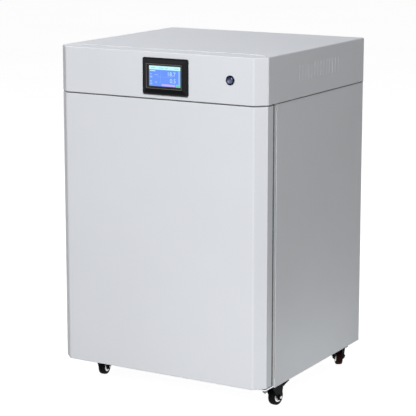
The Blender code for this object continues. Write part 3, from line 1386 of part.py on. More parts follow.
def controller_board():
    """Circuit board on standoffs with its relays, connectors and processor."""
    wide, deep = BOARD
    x, y = BOARD_X, y_at(BOARD_SETBACK)
    low = Z_SEAM + STANDOFF
    top = low + BOARD_SHEET
    item = block("controller_board", (x, y, low), (x + wide, y + deep, top))
    legs = []
    for leg_x in (x + STANDOFF_INSET, x + wide - STANDOFF_INSET):
        for leg_y in (y + STANDOFF_INSET, y + deep - STANDOFF_INSET):
            legs.append(((leg_x - STANDOFF_HALF, leg_y - STANDOFF_HALF, Z_SEAM),
                         (leg_x + STANDOFF_HALF, leg_y + STANDOFF_HALF, low + SUNK)))
    placed = [(x + RELAY_FIRST + step * RELAY_PITCH, y + deep - RELAY_SETBACK, RELAY)
              for step in range(RELAY_COUNT)]
    placed.append((x + CHIP_PLACE[0], y + CHIP_PLACE[1], CHIP))
    placed.append((x + CONNECTOR_PLACE[0], y + CONNECTOR_PLACE[1], CONNECTOR))
    parts = [((left, near, top - SUNK), (left + size[0], near + size[1], top + size[2]))
             for left, near, size in placed]
    return paint(unite(item, blocks("board_legs", legs), blocks("board_parts", parts)), BOARD_GREEN)


def gas_inlets():
    """Three hose barbs on a bulkhead bar behind the rear cover."""
    tip = Y_REAR + INLET_LENGTH
    face = Y_REAR - CASE_SHEET - GAP
    stub = face - INLET_BAR_DEPTH - INLET_STUB
    barb, barb_length = INLET_BARB
    waist, waist_start = INLET_WAIST
    shoulder, shoulder_end = INLET_SHOULDER
    profile = [(INLET_BORE, tip), (INLET_TIP, tip), (barb, tip - barb_length),
               (waist, tip - waist_start), (waist, Y_REAR + shoulder_end),
               (INLET_NECK, Y_REAR + shoulder), (INLET_NECK, stub), (INLET_BORE, stub)]
    xs = [INLET_X + side * INLET_PITCH for side in (-1, 0, 1)]
    barbs = [frozen(turned("inlet_%d" % number, profile, 10, (x, 0.0, INLET_Z), "Y"))
             for number, x in enumerate(xs)]
    half = INLET_PITCH + INLET_BAR_HEIGHT / 2
    bar = rounded_rectangle(half, INLET_BAR_HEIGHT / 2, INLET_BAR_CORNER, 2, (INLET_X, INLET_Z))
    bores = [circle(INLET_NECK - SUNK, 10, (x, INLET_Z)) for x in xs]
    item = prism("gas_inlets", [bar, *bores], face - INLET_BAR_DEPTH, face, "Y")
    return smooth(paint(unite(item, gather(*barbs)), BRASS))


def valve_manifold():
    """Three solenoid valves on one block, with a coil above each."""
    wide, deep, tall = MANIFOLD
    start = y_at(MANIFOLD_SETBACK)
    item = block("valve_manifold", (INLET_X - wide / 2, start, Z_SEAM),
                 (INLET_X + wide / 2, start + deep, Z_SEAM + tall))
    nut, nut_height = COIL_NUT
    top = tall + COIL_HEIGHT
    shoulder, foot = top - nut_height, tall + VALVE_BODY_HEIGHT - COIL_BEVEL
    profile = [(0.0, top), (nut, top), (nut, shoulder), (COIL_RADIUS, shoulder - COIL_BEVEL),
               (COIL_RADIUS, foot), (0.0, foot)]
    bodies, coils = [], []
    for side in (-1, 0, 1):
        x = INLET_X + side * INLET_PITCH
        bodies.append(((x - VALVE_BODY_HALF, start + VALVE_BODY_SETBACK, Z_SEAM + tall - SUNK),
                       (x + VALVE_BODY_HALF, start + deep - VALVE_BODY_SETBACK,
                        Z_SEAM + tall + VALVE_BODY_HEIGHT)))
        place = (x, start + deep / 2, Z_SEAM)
        coils.append(frozen(turned("coil_%d" % side, profile, 12, place)))
    return smooth(paint(unite(item, blocks("valve_bodies", bodies), gather(*coils)), BLACK))


def power_inlet():
    """Mains inlet: a flange on the rear cover, a recess with three pins, a body inside."""
    z = Z_SEAM + MAINS_HEIGHT
    flange_wide, flange_tall = MAINS_FLANGE
    wide, tall = MAINS_BODY
    low = Y_REAR + GAP
    high = low + MAINS_FLANGE_SHEET
    flange = rounded_rectangle(flange_wide / 2, flange_tall / 2, MAINS_FLANGE_CORNER, 2,
                               (MAINS_X, z))
    item = prism("power_inlet", [flange], low, high, "Y")
    body = block("inlet_body", (MAINS_X - wide / 2, Y_REAR - MAINS_DEPTH, z - tall / 2),
                 (MAINS_X + wide / 2, low + SUNK, z + tall / 2))
    socket_wide, socket_tall = MAINS_SOCKET
    floor = Y_REAR - MAINS_SOCKET_DEPTH
    recess = block("inlet_recess", (MAINS_X - socket_wide / 2, floor, z - socket_tall / 2),
                   (MAINS_X + socket_wide / 2, high + THROUGH, z + socket_tall / 2))
    half_x, half_z = PIN_HALF
    pins = [((MAINS_X + x - half_x, floor - SUNK, z + rise - half_z),
             (MAINS_X + x + half_x, Y_REAR - PIN_RECESS, z + rise + half_z))
            for x, rise in PIN_PLACES]
    return paint(unite(cut(unite(item, body), recess), blocks("inlet_pins", pins)), BLACK)


def caster_plate(code):
    """Top plate with the race and the king pin, on the underside of the base."""
    top = Z_BODY - GAP
    low = top - PLATE_SHEET
    rivet = Z_CROWN - FORK_SHEET - GAP
    square = rounded_rectangle(PLATE_SIZE / 2, PLATE_SIZE / 2, PLATE_CORNER)
    item = prism("caster_plate_" + code, [square], low, top)
    share, head = KING_PIN_HEAD
    stem = [(0.0, low + SUNK), (RACE_RADIUS, low + SUNK), (RACE_RADIUS, Z_RACE),
            (KING_PIN_RADIUS, Z_RACE), (KING_PIN_RADIUS, rivet), (KING_PIN_RADIUS * share, rivet),
            (KING_PIN_RADIUS * share, rivet - head), (0.0, rivet - head)]
    return smooth(paint(frozen(unite(item, turned("king_pin_" + code, stem, 16))), BLACK))


def leg_outline():
    """Side of the fork: broad under the crown, with an ear for the pedal, down to the axle."""
    top = Z_CROWN - FORK_SHEET + LEG_SUNK
    arc = []
    for step in range(5):
        angle = math.radians(195 + 170 * step / 4)
        arc.append((TRAIL + LEG_BOSS * math.cos(angle), WHEEL_RADIUS + LEG_BOSS * math.sin(angle)))
    pivot_y, pivot_z = PEDAL_PIVOT
    ear = pivot_y + LEG_EAR
    return [(LEG_FRONT, top), *arc, (ear, pivot_z - LEG_EAR * 0.6), (ear, pivot_z + LEG_EAR),
            (LEG_REAR, top)]


def caster_fork(code, braked):
    """Crown with both legs and the axle bolt that is riveted through them."""
    bore = KING_PIN_RADIUS + GAP
    low = Z_CROWN - CROWN_SKIRT
    inner = CROWN_RADIUS - FORK_SHEET * 0.7
    edge = CROWN_ROUNDING
    crown = [(bore, Z_CROWN), (CROWN_RADIUS - edge, Z_CROWN), (CROWN_RADIUS, Z_CROWN - edge),
             (CROWN_RADIUS, low), (inner, low), (inner, Z_CROWN - FORK_SHEET),
             (bore, Z_CROWN - FORK_SHEET)]
    item = turned("caster_fork_" + code, crown, 16)
    holes = [circle(PEDAL_PIN_RADIUS + GAP, 8, PEDAL_PIVOT)] if braked else []
    legs = []
    for side in (-1, 1):
        near, far = sorted((side * FORK_INNER, side * FORK_OUTER))
        legs.append(prism("leg_%s_%d" % (code, side), [leg_outline(), *holes], near, far, "X"))
    nut = FORK_OUTER - SUNK
    head, head_height = BOLT_HEAD
    bolt = [(0.0, nut + head_height + BOLT_CROWN), (head, nut + head_height), (head, nut),
            (AXLE_RADIUS, nut), (AXLE_RADIUS, -nut), (head, -nut), (head, -nut - head_height),
            (0.0, -nut - head_height)]
    axle = turned("axle_" + code, bolt, 10, (0.0, TRAIL, WHEEL_RADIUS), "X")
    return smooth(paint(frozen(unite(item, gather(*legs), axle)), BLACK))


def caster_wheel(code):
    half = WHEEL_WIDTH / 2
    bore = AXLE_RADIUS + GAP
    radius = WHEEL_RADIUS
    edge, slope = TREAD_EDGE
    side = [(bore, half), (WHEEL_FACE_RADIUS, half), (WHEEL_HUB_RADIUS, half - WHEEL_DISH),
            (radius - TREAD_SHOULDER, half - edge), (radius, half - slope)]
    profile = side + [(reach, -place) for reach, place in reversed(side)]
    item = turned("caster_wheel_" + code, profile, 24, (0.0, TRAIL, WHEEL_RADIUS), "X")
    return smooth(paint(item, RUBBER))


def brake_pedal(code):
    """Foot lever between the legs of the fork, on its own pin."""
    lift = math.radians(PEDAL_ANGLE)
    along = Vector((math.cos(lift), math.sin(lift)))
    across = Vector((-along.y, along.x))
    centre = Vector(PEDAL_PIVOT)
    half = PEDAL_SHEET / 2
    boss = []
    for step in range(7):
        angle = lift + math.radians(60 + 240 * step / 6)
        boss.append(centre + Vector((math.cos(angle), math.sin(angle))) * PEDAL_BOSS)
    lever_end = PEDAL_REACH * PEDAL_LEVER_SHARE
    web_start, web_drop = PEDAL_WEB
    lever = [*boss, centre + along * web_start - across * web_drop,
             centre + along * lever_end - across * half, centre + along * lever_end + across * half]
    inner = FORK_INNER - PEDAL_PLAY
    name = "brake_pedal_" + code
    item = prism(name, [[tuple(point) for point in lever]], -inner, inner, "X")
    start, end = PEDAL_REACH * PEDAL_PAD_START, PEDAL_REACH + PEDAL_PAD_END
    below, tip, root = [half * share for share in PEDAL_PAD_SHARES]
    pad = [centre + along * start - across * below, centre + along * end - across * below,
           centre + along * end + across * tip, centre + along * start + across * root]
    plate = prism("pad_" + code, [[tuple(point) for point in pad]],
                  -PEDAL_PAD_WIDTH / 2, PEDAL_PAD_WIDTH / 2, "X")
    pin_end = FORK_OUTER + PEDAL_PIN_PROUD
    pin = prism("pedal_pin_" + code, [circle(PEDAL_PIN_RADIUS, 8, PEDAL_PIVOT)], -pin_end, pin_end, "X")
    frozen(unite(item, plate, pin))
    return smooth(paint(set_origin(item, (0.0, *PEDAL_PIVOT)), BLACK))


def casters():
    for code, yaw in CASTER_YAWS.items():
        braked = code.startswith("f")
        side = -1 if code.endswith("l") else 1
        setback = SWIVEL_FRONT if braked else SWIVEL_REAR
        swivel = add("swivel_" + code, None)
        swivel.location = (side * SWIVEL_X, y_at(setback), 0.0)
        swivel.rotation_euler = (0.0, 0.0, math.radians(yaw))
        caster_plate(code).location = swivel.location
        parts = [caster_fork(code, braked), caster_wheel(code)]
        if braked:
            parts.append(brake_pedal(code))
        for part in parts:
            part.parent = swivel


def build():
    clear_scene()
    for make in (base_frame, outer_case, rear_panel, front_frame, insulation, chamber_liner,
                 water_tray, air_duct_panel, fan_rotor, fan_motor, inlet_filter, temperature_probe,
                 access_port_sleeve, access_port_plug, glass_seal, glass_door, glass_latch,
                 door_skin, door_pull, door_core, door_liner, door_gasket, door_hinge_bushes,
                 hinge_bracket_lower, hinge_bracket_upper, fascia_panel, top_cover,
                 rear_control_cover, hmi_bezel, hmi_screen, hmi_housing, power_switch, power_button,
                 power_supply, controller_board, gas_inlets, valve_manifold, power_inlet, casters):
        make()
    for name, level in zip(("shelf_lower", "shelf_middle", "shelf_upper"), SHELF_LEVELS):
        shelf(name, level)
    for name, side in (("carbon_dioxide_sensor", -1), ("oxygen_sensor", 1)):
        gas_sensor(name, side * SENSOR_SPACING / 2)
    for name, level in zip(("glass_hinge_lower", "glass_hinge_upper"), glass_hinge_levels()):
        glass_hinge_clip(name, level)


build()
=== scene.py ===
"""Looks of the tri-gas incubator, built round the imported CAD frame.

Metres, +Z up, the front of the cabinet faces -Y. Sizes that repeat the CAD's are named below.
"""

import math

import bmesh
import bpy
from mathutils import Matrix, Vector


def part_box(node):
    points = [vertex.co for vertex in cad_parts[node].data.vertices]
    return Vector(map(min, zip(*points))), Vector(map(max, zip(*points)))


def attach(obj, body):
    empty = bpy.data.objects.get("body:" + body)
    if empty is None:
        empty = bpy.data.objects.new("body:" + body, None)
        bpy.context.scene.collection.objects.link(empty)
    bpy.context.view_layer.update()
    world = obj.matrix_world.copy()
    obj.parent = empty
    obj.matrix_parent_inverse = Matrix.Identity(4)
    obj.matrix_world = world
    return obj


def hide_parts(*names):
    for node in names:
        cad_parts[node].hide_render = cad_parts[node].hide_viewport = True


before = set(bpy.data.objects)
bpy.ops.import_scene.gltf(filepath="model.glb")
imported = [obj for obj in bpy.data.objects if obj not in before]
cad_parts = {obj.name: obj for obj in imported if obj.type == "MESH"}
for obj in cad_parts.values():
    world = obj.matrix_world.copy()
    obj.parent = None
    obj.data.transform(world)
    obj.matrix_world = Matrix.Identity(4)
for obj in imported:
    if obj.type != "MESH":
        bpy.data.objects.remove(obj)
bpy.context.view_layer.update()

# Places and sizes that repeat the CAD's, where a node's box doesn't give them
CASTER_YAWS = {"fl": 8.0, "fr": -7.0, "rl": 14.0, "rr": 34.0}
WHEEL_HALF = 0.010
FORK_OUTER = 0.014
PLATE_SHEET = 0.0025
BRACKET_LOW = 0.0764
BOARD_TOP = 0.8249
CORNER_CUT = 0.0275
RIDGE_OUTER = (0.0531, 0.0321)
RIDGE_FACE = -0.3038

# The step that keeps a piece of the scene off a face of the CAD
HAIR = 0.0001

# Wheels: points of the tyre are steps (out from the hub or in from the tread, in from the face)
HUB_RADIUS = 0.0148
TYRE_LIP = ((0.0, 0.0022), (0.0012, 0.0010))
TYRE_SHOULDER = ((0.0030, 0.0006), (0.0016, 0.0014), (0.0006, 0.0030), (0.00015, 0.0052),
                 (0.0, 0.0070))

# Grooves of the tread: steps in from the tread, and distances from the middle of the wheel
GROOVE = ((0.0, 0.0019), (0.0006, 0.0016), (0.0006, 0.0010), (0.0, 0.0007))

# Hub ring and axle nut: radius, and the step in from the tyre's face or out from the fork
HUB_FACE = ((0.0043, 0.0001), (0.0058, 0.0001), (0.0064, 0.0007), (0.0067, 0.0030),
            (0.0094, 0.0030), (0.0100, 0.0008), (0.0106, 0.0003), (0.0139, 0.0003))
HUB_RIM_STEP = 0.0011
NUT_DOME = ((0.0, 0.0032), (0.0046, 0.0032), (0.0045, 0.0044), (0.0036, 0.0053),
            (0.0020, 0.0058), (0.0, 0.0060))

# Bolts of the caster plates
BOLT_SPREAD = 0.0215
BOLT_RADIUS = 0.0046
BOLT_HEIGHT = 0.0028
BOLT_CHAMFER = 0.0006

# Screws of the back: columns at both sides, and rows between them
SCREW_RADIUS = 0.0038
SCREW_SIDE = 0.2985
PANEL_SCREW_LOW = 0.090
PANEL_SCREW_STEP = 0.1745
PANEL_SCREW_COUNT = 5
COVER_SCREW_HEIGHTS = (0.832, 0.920)
PANEL_ROW = (-0.150, 0.0, 0.150)
PANEL_ROW_HEIGHTS = (0.083, 0.805)
COVER_ROW = (-0.100, 0.100)
COVER_ROW_HEIGHT = 0.926

# Dark strip on the front edge of the frame, painted shade for the gap behind the rim of the door
GAP_SHADE_WIDTH = 0.007
GAP_SHADE_DEPTH = 0.0038
GAP_SHADE_PROUD = 0.0003
GAP_SHADE_FRONT = 0.0005

# Dark strips in the seams, painted shade for the seam lines: on the case under the cover, and
# under the fascia
SEAM_SHADE_HEIGHT = 0.0014
SEAM_SHADE_THICKNESS = 0.0006
SEAM_SHADE_END = 0.002
FASCIA_SHADE_HEIGHT = 0.0021
FASCIA_SHADE_BACK = -0.255
FASCIA_SHADE_INSET = 0.0012
FASCIA_SHADE_WIDTH = 0.004
FASCIA_SHADE_CUT = CORNER_CUT - 0.0015

# Display: corners of the lit picture in X and Z, the height per radian of the wave that gives
# its faint rows, its layers and its figures
PICTURE_LOW = (-0.0212, 0.8478)
PICTURE_HIGH = (0.0715, 0.9000)
ROW_RADIAN = 0.00045
LAYER = 0.00006
LAYER_SUNK = 0.00001
FIGURE_FRONT = 0.00014
FIGURE_BACK = 0.00002
FIGURE_SIZE = 0.0150
RIDGE_WIDTH = 0.0018
RIDGE_PROUD = 0.0004

# Power button: places from the middle of its lens, for the painted pale middle (painted
# reflection) and the painted glow spot
BUTTON_DOME = 0.0022
PAINTED_MIDDLE_OFFSET = (0.0005, 0.0, 0.0012)
PAINTED_MIDDLE_RADIUS = 0.0085
PAINTED_GLOW_OFFSET = (-0.0030, 0.0, -0.0036)
PAINTED_GLOW_RADIUS = 0.0042

# Camera
CAMERA_PLACE = (2.2094, -3.8542, 1.3908)
CAMERA_TURN = (79.52, 0.04, 30.26)
CAMERA_LENS = 142.58
CAMERA_SENSOR = 36.0
CAMERA_SHIFT = (0.0132, -0.08)
CAMERA_REACH = 200.0

# Area lights: name, aim, direction to the light, distance, width, height, watts, colour
KEY_COLOUR = (0.965, 0.985, 1.03)
LOW_COLOUR = (0.93, 1.0, 1.05)
PLAIN = (1.0, 1.0, 1.0)
LIGHTS = (
    ("key", (0.0, -0.2, 0.55), (0.30, -0.777, 0.553), 6.0, 3.4, 3.4, 362.0, KEY_COLOUR),
    ("rear_high", (0.0, 0.1, 0.7), (-0.55, 0.45, 0.90), 3.4, 1.6, 1.6, 46.0, KEY_COLOUR),
    ("low_right", (0.31, 0.0, 0.06), (1.0, 0.0, 0.0), 0.27, 0.6, 0.08, 0.21, LOW_COLOUR),
    ("rear_low", (0.0, 0.28, 0.45), (0.0, 1.0, 0.12), 4.0, 1.2, 1.2, 25.0, PLAIN),
    ("low_front", (0.05, -0.30, 0.06), (0.40, -0.90, 0.05), 0.80, 0.4, 0.4, 0.75, PLAIN),
)
WORLD_STRENGTH = 0.10
FLOOR_REACH = 45.0

BLACK = (0.0, 0.0, 0.0, 1.0)


def srgb(red, green, blue):
    """The linear colour of 0 to 255 display values."""
    line = []
    for value in (red, green, blue):
        share = value / 255
        line.append(share / 12.92 if share <= 0.04045 else ((share + 0.055) / 1.055) ** 2.4)
    return (*line, 1.0)


class Look:
    """A node material while it is put together."""

    def __init__(self, name, rough=0.5, metal=0.0):
        self.material = bpy.data.materials.new(name)
        self.material.use_nodes = True
        self.tree = self.material.node_tree
        self.shader = self.tree.nodes["Principled BSDF"]
        self.set("Roughness", rough)
        self.set("Metallic", metal)
        self.spot = self.add("ShaderNodeTexCoord").outputs["Object"]

    def add(self, kind, **settings):
        made = self.tree.nodes.new(kind)
        for key, value in settings.items():
            setattr(made, key, value)
        return made

    def set(self, socket, value):
        self.shader.inputs[socket].default_value = value

    def link(self, source, target):
        self.tree.links.new(source, target)

    def scaled(self, scale):
        mapping = self.add("ShaderNodeMapping")
        mapping.inputs["Scale"].default_value = scale
        self.link(self.spot, mapping.inputs["Vector"])
        return mapping.outputs["Vector"]

    def noise(self, size, detail=3.0, rough=0.5, stretch=(1.0, 1.0, 1.0)):
        """Noise whose features are about size metres across."""
        made = self.add("ShaderNodeTexNoise")
        made.inputs["Scale"].default_value = 1.0 / size
        made.inputs["Detail"].default_value = detail
        made.inputs["Roughness"].default_value = rough
        self.link(self.scaled(stretch), made.inputs["Vector"])
        return made.outputs["Fac"]

    def cells(self, size):
        """Distance from the middle of cells about size metres across."""
        made = self.add("ShaderNodeTexVoronoi")
        made.inputs["Scale"].default_value = 1.0 / size
        self.link(self.spot, made.inputs["Vector"])
        return made.outputs["Distance"]

    def span(self, source, low, high, start=0.3, end=0.7):
        """The source's range from start to end, stretched to the range from low to high."""
        made = self.add("ShaderNodeMapRange")
        for socket, value in (("From Min", start), ("From Max", end), ("To Min", low),
                              ("To Max", high)):
            made.inputs[socket].default_value = value
        self.link(source, made.inputs["Value"])
        return made.outputs["Result"]

    def math(self, operation, first, second=0.0):
        made = self.add("ShaderNodeMath", operation=operation)
        for socket, value in zip(made.inputs, (first, second)):
            if isinstance(value, float):
                socket.default_value = value
            else:
                self.link(value, socket)
        return made.outputs["Value"]

    def axis(self, name):
        made = self.add("ShaderNodeSeparateXYZ")
        self.link(self.spot, made.inputs["Vector"])
        return made.outputs[name]

    def blend(self, factor, first, second):
        made = self.add("ShaderNodeMix", data_type="RGBA")
        self.link(factor, made.inputs[0])
        for socket, value in zip((made.inputs[6], made.inputs[7]), (first, second)):
            if isinstance(value, tuple):
                socket.default_value = value
            else:
                self.link(value, socket)
        return made.outputs[2]

    def colour(self, source):
        self.link(source, self.shader.inputs["Base Color"])

    def roughness(self, source):
        self.link(source, self.shader.inputs["Roughness"])

    def bump(self, *layers):
        """Height layers of (source, depth in metres), one over the other."""
        below = None
        for source, depth in layers:
            made = self.add("ShaderNodeBump")
            made.inputs["Strength"].default_value = 1.0
            made.inputs["Distance"].default_value = depth
            self.link(source, made.inputs["Height"])
            if below is not None:
                self.link(below, made.inputs["Normal"])
            below = made.outputs["Normal"]
        self.link(below, self.shader.inputs["Normal"])


def shade(colour, share):
    """The colour times a share."""
    return (*[value * share for value in colour[:3]], 1.0)


def powder_coat(name, colour, rough=0.44):
    """Baked paint with fine orange peel and a faint cloudiness."""
    look = Look(name, rough)
    look.set("Specular IOR Level", 0.40)
    cloud = look.span(look.noise(0.30, 3.0), 0.0, 1.0)
    fleck = look.noise(0.004, 2.0)
    tone = look.blend(cloud, shade(colour, 0.985), shade(colour, 1.015))
    look.colour(look.blend(look.span(fleck, 0.0, 0.10), tone, shade(colour, 0.90)))
    look.roughness(look.span(look.noise(0.020, 2.0), rough - 0.04, rough + 0.05))
    look.bump((look.noise(0.0022, 2.0), 0.000028), (look.noise(0.0006, 1.0), 0.000006))
    return look


def matt(look, level=0.08):
    """Lowers the gloss of a black look, so that it stays black beside the pale floor."""
    look.set("Specular IOR Level", level)
    return look


def brushed_steel(name, colour, stretch=(0.03, 1.0, 1.0), rough=0.30):
    """Stainless sheet with fine lines along the axis whose stretch is small."""
    look = Look(name, rough, 1.0)
    hair = look.noise(0.0007, 3.0, 0.6, stretch)
    cloud = look.noise(0.12, 3.0)
    look.colour(look.blend(look.span(cloud, 0.0, 1.0), shade(colour, 0.94), shade(colour, 1.05)))
    look.roughness(look.span(hair, rough - 0.07, rough + 0.10))
    look.bump((hair, 0.00002))
    return look


def plated(name, colour, rough=0.22, lower=None, split=0.0):
    """Bright metal plate with faint clouds; below the height split it has the lower colour."""
    look = Look(name, rough, 1.0)
    cloud = look.noise(0.006, 4.0)
    tone = look.blend(look.span(cloud, 0.0, 1.0), shade(colour, 0.90), shade(colour, 1.06))
    if lower:
        above = look.span(look.axis("Z"), 0.0, 1.0, split - 0.0001, split + 0.0001)
        tone = look.blend(above, lower, tone)
    look.colour(tone)
    look.roughness(look.span(look.noise(0.0015, 3.0), rough - 0.06, rough + 0.12))
    look.bump((look.noise(0.0005, 2.0), 0.000008))
    return look


def moulded(name, colour, rough=0.42, grain=0.0007, depth=0.00003):
    """Plastic with the fine spark grain of its mould."""
    look = Look(name, rough)
    cloud = look.noise(0.03, 3.0)
    look.colour(look.blend(look.span(cloud, 0.0, 1.0), shade(colour, 0.88), shade(colour, 1.12)))
    look.roughness(look.span(look.noise(0.003, 3.0), rough - 0.06, rough + 0.08))
    look.bump((look.cells(grain), depth))
    return look


def rubber(name, colour, rough=0.72):
    """Dull rubber with a little pale dust."""
    look = Look(name, rough)
    dust = look.span(look.noise(0.007, 5.0, 0.65), 0.0, 1.0, 0.45, 0.75)
    look.colour(look.blend(dust, colour, shade(colour, 1.9)))
    look.roughness(look.span(look.noise(0.002, 3.0), rough - 0.10, rough + 0.12))
    look.bump((look.noise(0.0006, 3.0), 0.00004))
    return look


def soft_silicone(name, colour):
    """Milky silicone that lets a little light in."""
    look = Look(name, 0.5)
    look.set("Subsurface Weight", 0.15)
    look.set("Subsurface Radius", (0.003, 0.003, 0.003))
    cloud = look.noise(0.010, 3.0)
    look.colour(look.blend(look.span(cloud, 0.0, 1.0), shade(colour, 0.93), shade(colour, 1.03)))
    look.roughness(look.span(look.noise(0.002, 2.0), 0.42, 0.60))
    look.bump((look.noise(0.0012, 2.0), 0.00003))
    return look


def cut_foam(name, colour):
    """Rigid foam with open cells at its cut faces."""
    look = Look(name, 0.95)
    look.colour(look.blend(look.span(look.cells(0.0014), 0.0, 1.0, 0.1, 0.7), shade(colour, 0.70),
                           shade(colour, 1.05)))
    look.roughness(look.span(look.noise(0.004), 0.85, 1.0))
    look.bump((look.cells(0.0014), 0.0004), (look.noise(0.012, 3.0), 0.0004))
    return look


def filter_paper(name, colour):
    """Pale paper with fine fibres."""
    look = Look(name, 0.9)
    fibre = look.noise(0.0006, 4.0, 0.7, (1.0, 0.15, 1.0))
    look.colour(look.blend(look.span(fibre, 0.0, 1.0), shade(colour, 0.84), shade(colour, 1.03)))
    look.roughness(look.span(fibre, 0.80, 0.98))
    look.bump((fibre, 0.00008))
    return look


def clear_glass(name):
    """Clear glass with a faint green tint and a little haze."""
    look = Look(name, 0.02)
    look.set("Transmission Weight", 1.0)
    look.set("IOR", 1.5)
    haze = look.span(look.noise(0.05, 4.0), 0.01, 0.05)
    look.roughness(haze)
    look.colour(look.blend(look.span(look.noise(0.2, 2.0), 0.0, 1.0), (0.93, 0.98, 0.965, 1.0),
                           (0.90, 0.97, 0.95, 1.0)))
    return look


def circuit_board(name, board_top):
    """Green board with copper lines, and dark and blue components above it."""
    look = Look(name, 0.45)
    lines = look.add("ShaderNodeTexBrick")
    lines.inputs["Scale"].default_value = 260.0
    lines.inputs["Mortar Size"].default_value = 0.035
    lines.inputs["Color1"].default_value = (0.010, 0.120, 0.045, 1.0)
    lines.inputs["Color2"].default_value = (0.014, 0.150, 0.055, 1.0)
    lines.inputs["Mortar"].default_value = (0.060, 0.260, 0.110, 1.0)
    look.link(look.spot, lines.inputs["Vector"])
    height = look.axis("Z")
    parts = look.blend(look.span(look.noise(0.030, 1.0), 0.0, 1.0, 0.46, 0.54),
                       (0.015, 0.016, 0.018, 1.0), (0.03, 0.10, 0.26, 1.0))
    above = look.span(height, 0.0, 1.0, board_top + 0.0004, board_top + 0.0006)
    look.colour(look.blend(above, lines.outputs["Color"], parts))
    look.roughness(look.span(look.noise(0.003, 2.0), 0.35, 0.55))
    look.bump((look.noise(0.0008, 2.0), 0.00002))
    return look


def lit(name, colour):
    """A lit area of the display, with faint even rows; the texture waves at 20 times its scale."""
    look = Look(name, 0.25)
    rows = look.add("ShaderNodeTexWave", wave_type="BANDS", bands_direction="Z")
    rows.inputs["Scale"].default_value = 1 / (20 * ROW_RADIAN)
    look.link(look.spot, rows.inputs["Vector"])
    cloud = look.span(look.noise(0.012, 2.0), 0.96, 1.04)
    share = look.math("MULTIPLY", look.span(rows.outputs["Fac"], 0.94, 1.06, 0.0, 1.0), cloud)
    tone = look.blend(share, BLACK, colour)
    look.link(tone, look.shader.inputs["Emission Color"])
    look.set("Emission Strength", 1.0)
    look.colour(look.blend(cloud, BLACK, (0.01, 0.012, 0.02, 1.0)))
    look.roughness(look.span(look.noise(0.004), 0.20, 0.30))
    return look


LOOKS = {
    "paint": powder_coat("white_powder_coat", (0.790, 0.798, 0.808, 1.0)),
    "liner_steel": brushed_steel("liner_steel", (0.64, 0.64, 0.63, 1.0), (1.0, 0.03, 1.0), 0.26),
    "shelf_steel": brushed_steel("shelf_steel", (0.63, 0.63, 0.62, 1.0), (0.03, 1.0, 1.0), 0.28),
    "duct_steel": brushed_steel("duct_steel", (0.60, 0.60, 0.59, 1.0), (1.0, 1.0, 0.03), 0.32),
    "zinc": plated("zinc_plate", (0.72, 0.73, 0.74, 1.0), 0.30),
    "bracket": plated("bracket_plate", (0.80, 0.81, 0.82, 1.0), 0.34, (0.16, 0.16, 0.165, 1.0),
                      BRACKET_LOW),
    "chrome": plated("nut_plate", (0.62, 0.62, 0.61, 1.0), 0.20),
    "brass": plated("brass_fitting", (0.70, 0.50, 0.20, 1.0), 0.28),
    "black_paint": matt(powder_coat("black_caster_paint", (0.0035, 0.0035, 0.004, 1.0), 0.40),
                        0.05),
    "black_plastic": moulded("black_plastic", (0.012, 0.013, 0.015, 1.0)),
    "bezel": matt(moulded("display_bezel", (0.0035, 0.004, 0.005, 1.0), 0.34, 0.0005, 0.00002),
                  0.22),
    "ridge": moulded("display_ridge", (0.105, 0.092, 0.080, 1.0), 0.40),
    "liner_plastic": powder_coat("door_liner_white", (0.80, 0.81, 0.82, 1.0), 0.30),
    "gasket": rubber("door_gasket_rubber", (0.16, 0.165, 0.17, 1.0), 0.60),
    # Painted shade: dark strip in the gap between the door and the case
    "trim": rubber("edge_trim_rubber", (0.155, 0.158, 0.162, 1.0), 0.62),
    # Painted shade: dark strips that darken the seam lines
    "seal": rubber("seam_seal_rubber", (0.085, 0.087, 0.090, 1.0), 0.62),
    "tyre": matt(rubber("tyre_rubber", (0.006, 0.006, 0.007, 1.0), 0.62)),
    "rear_tyre": matt(rubber("rear_tyre_rubber", (0.024, 0.006, 0.006, 1.0), 0.62)),
    "hub": plated("hub_plate", (0.80, 0.81, 0.80, 1.0), 0.30),
    "bush": moulded("bush_plastic", (0.045, 0.016, 0.016, 1.0), 0.50),
    "silicone": soft_silicone("silicone", (0.74, 0.74, 0.72, 1.0)),
    "foam": cut_foam("polyurethane_foam", (0.80, 0.72, 0.46, 1.0)),
    "filter": filter_paper("filter_paper", (0.82, 0.82, 0.78, 1.0)),
    "glass": clear_glass("tempered_glass"),
    "screen": moulded("screen_glass", (0.004, 0.004, 0.005, 1.0), 0.10, 0.002, 0.000001),
    # Power button's ring: metal given a dark navy colour, a painted dark reflection of a chrome
    # ring
    "ring": plated("button_ring_painted_reflection", (0.012, 0.016, 0.045, 1.0), 0.22),
    "board": circuit_board("circuit_board", BOARD_TOP),
}
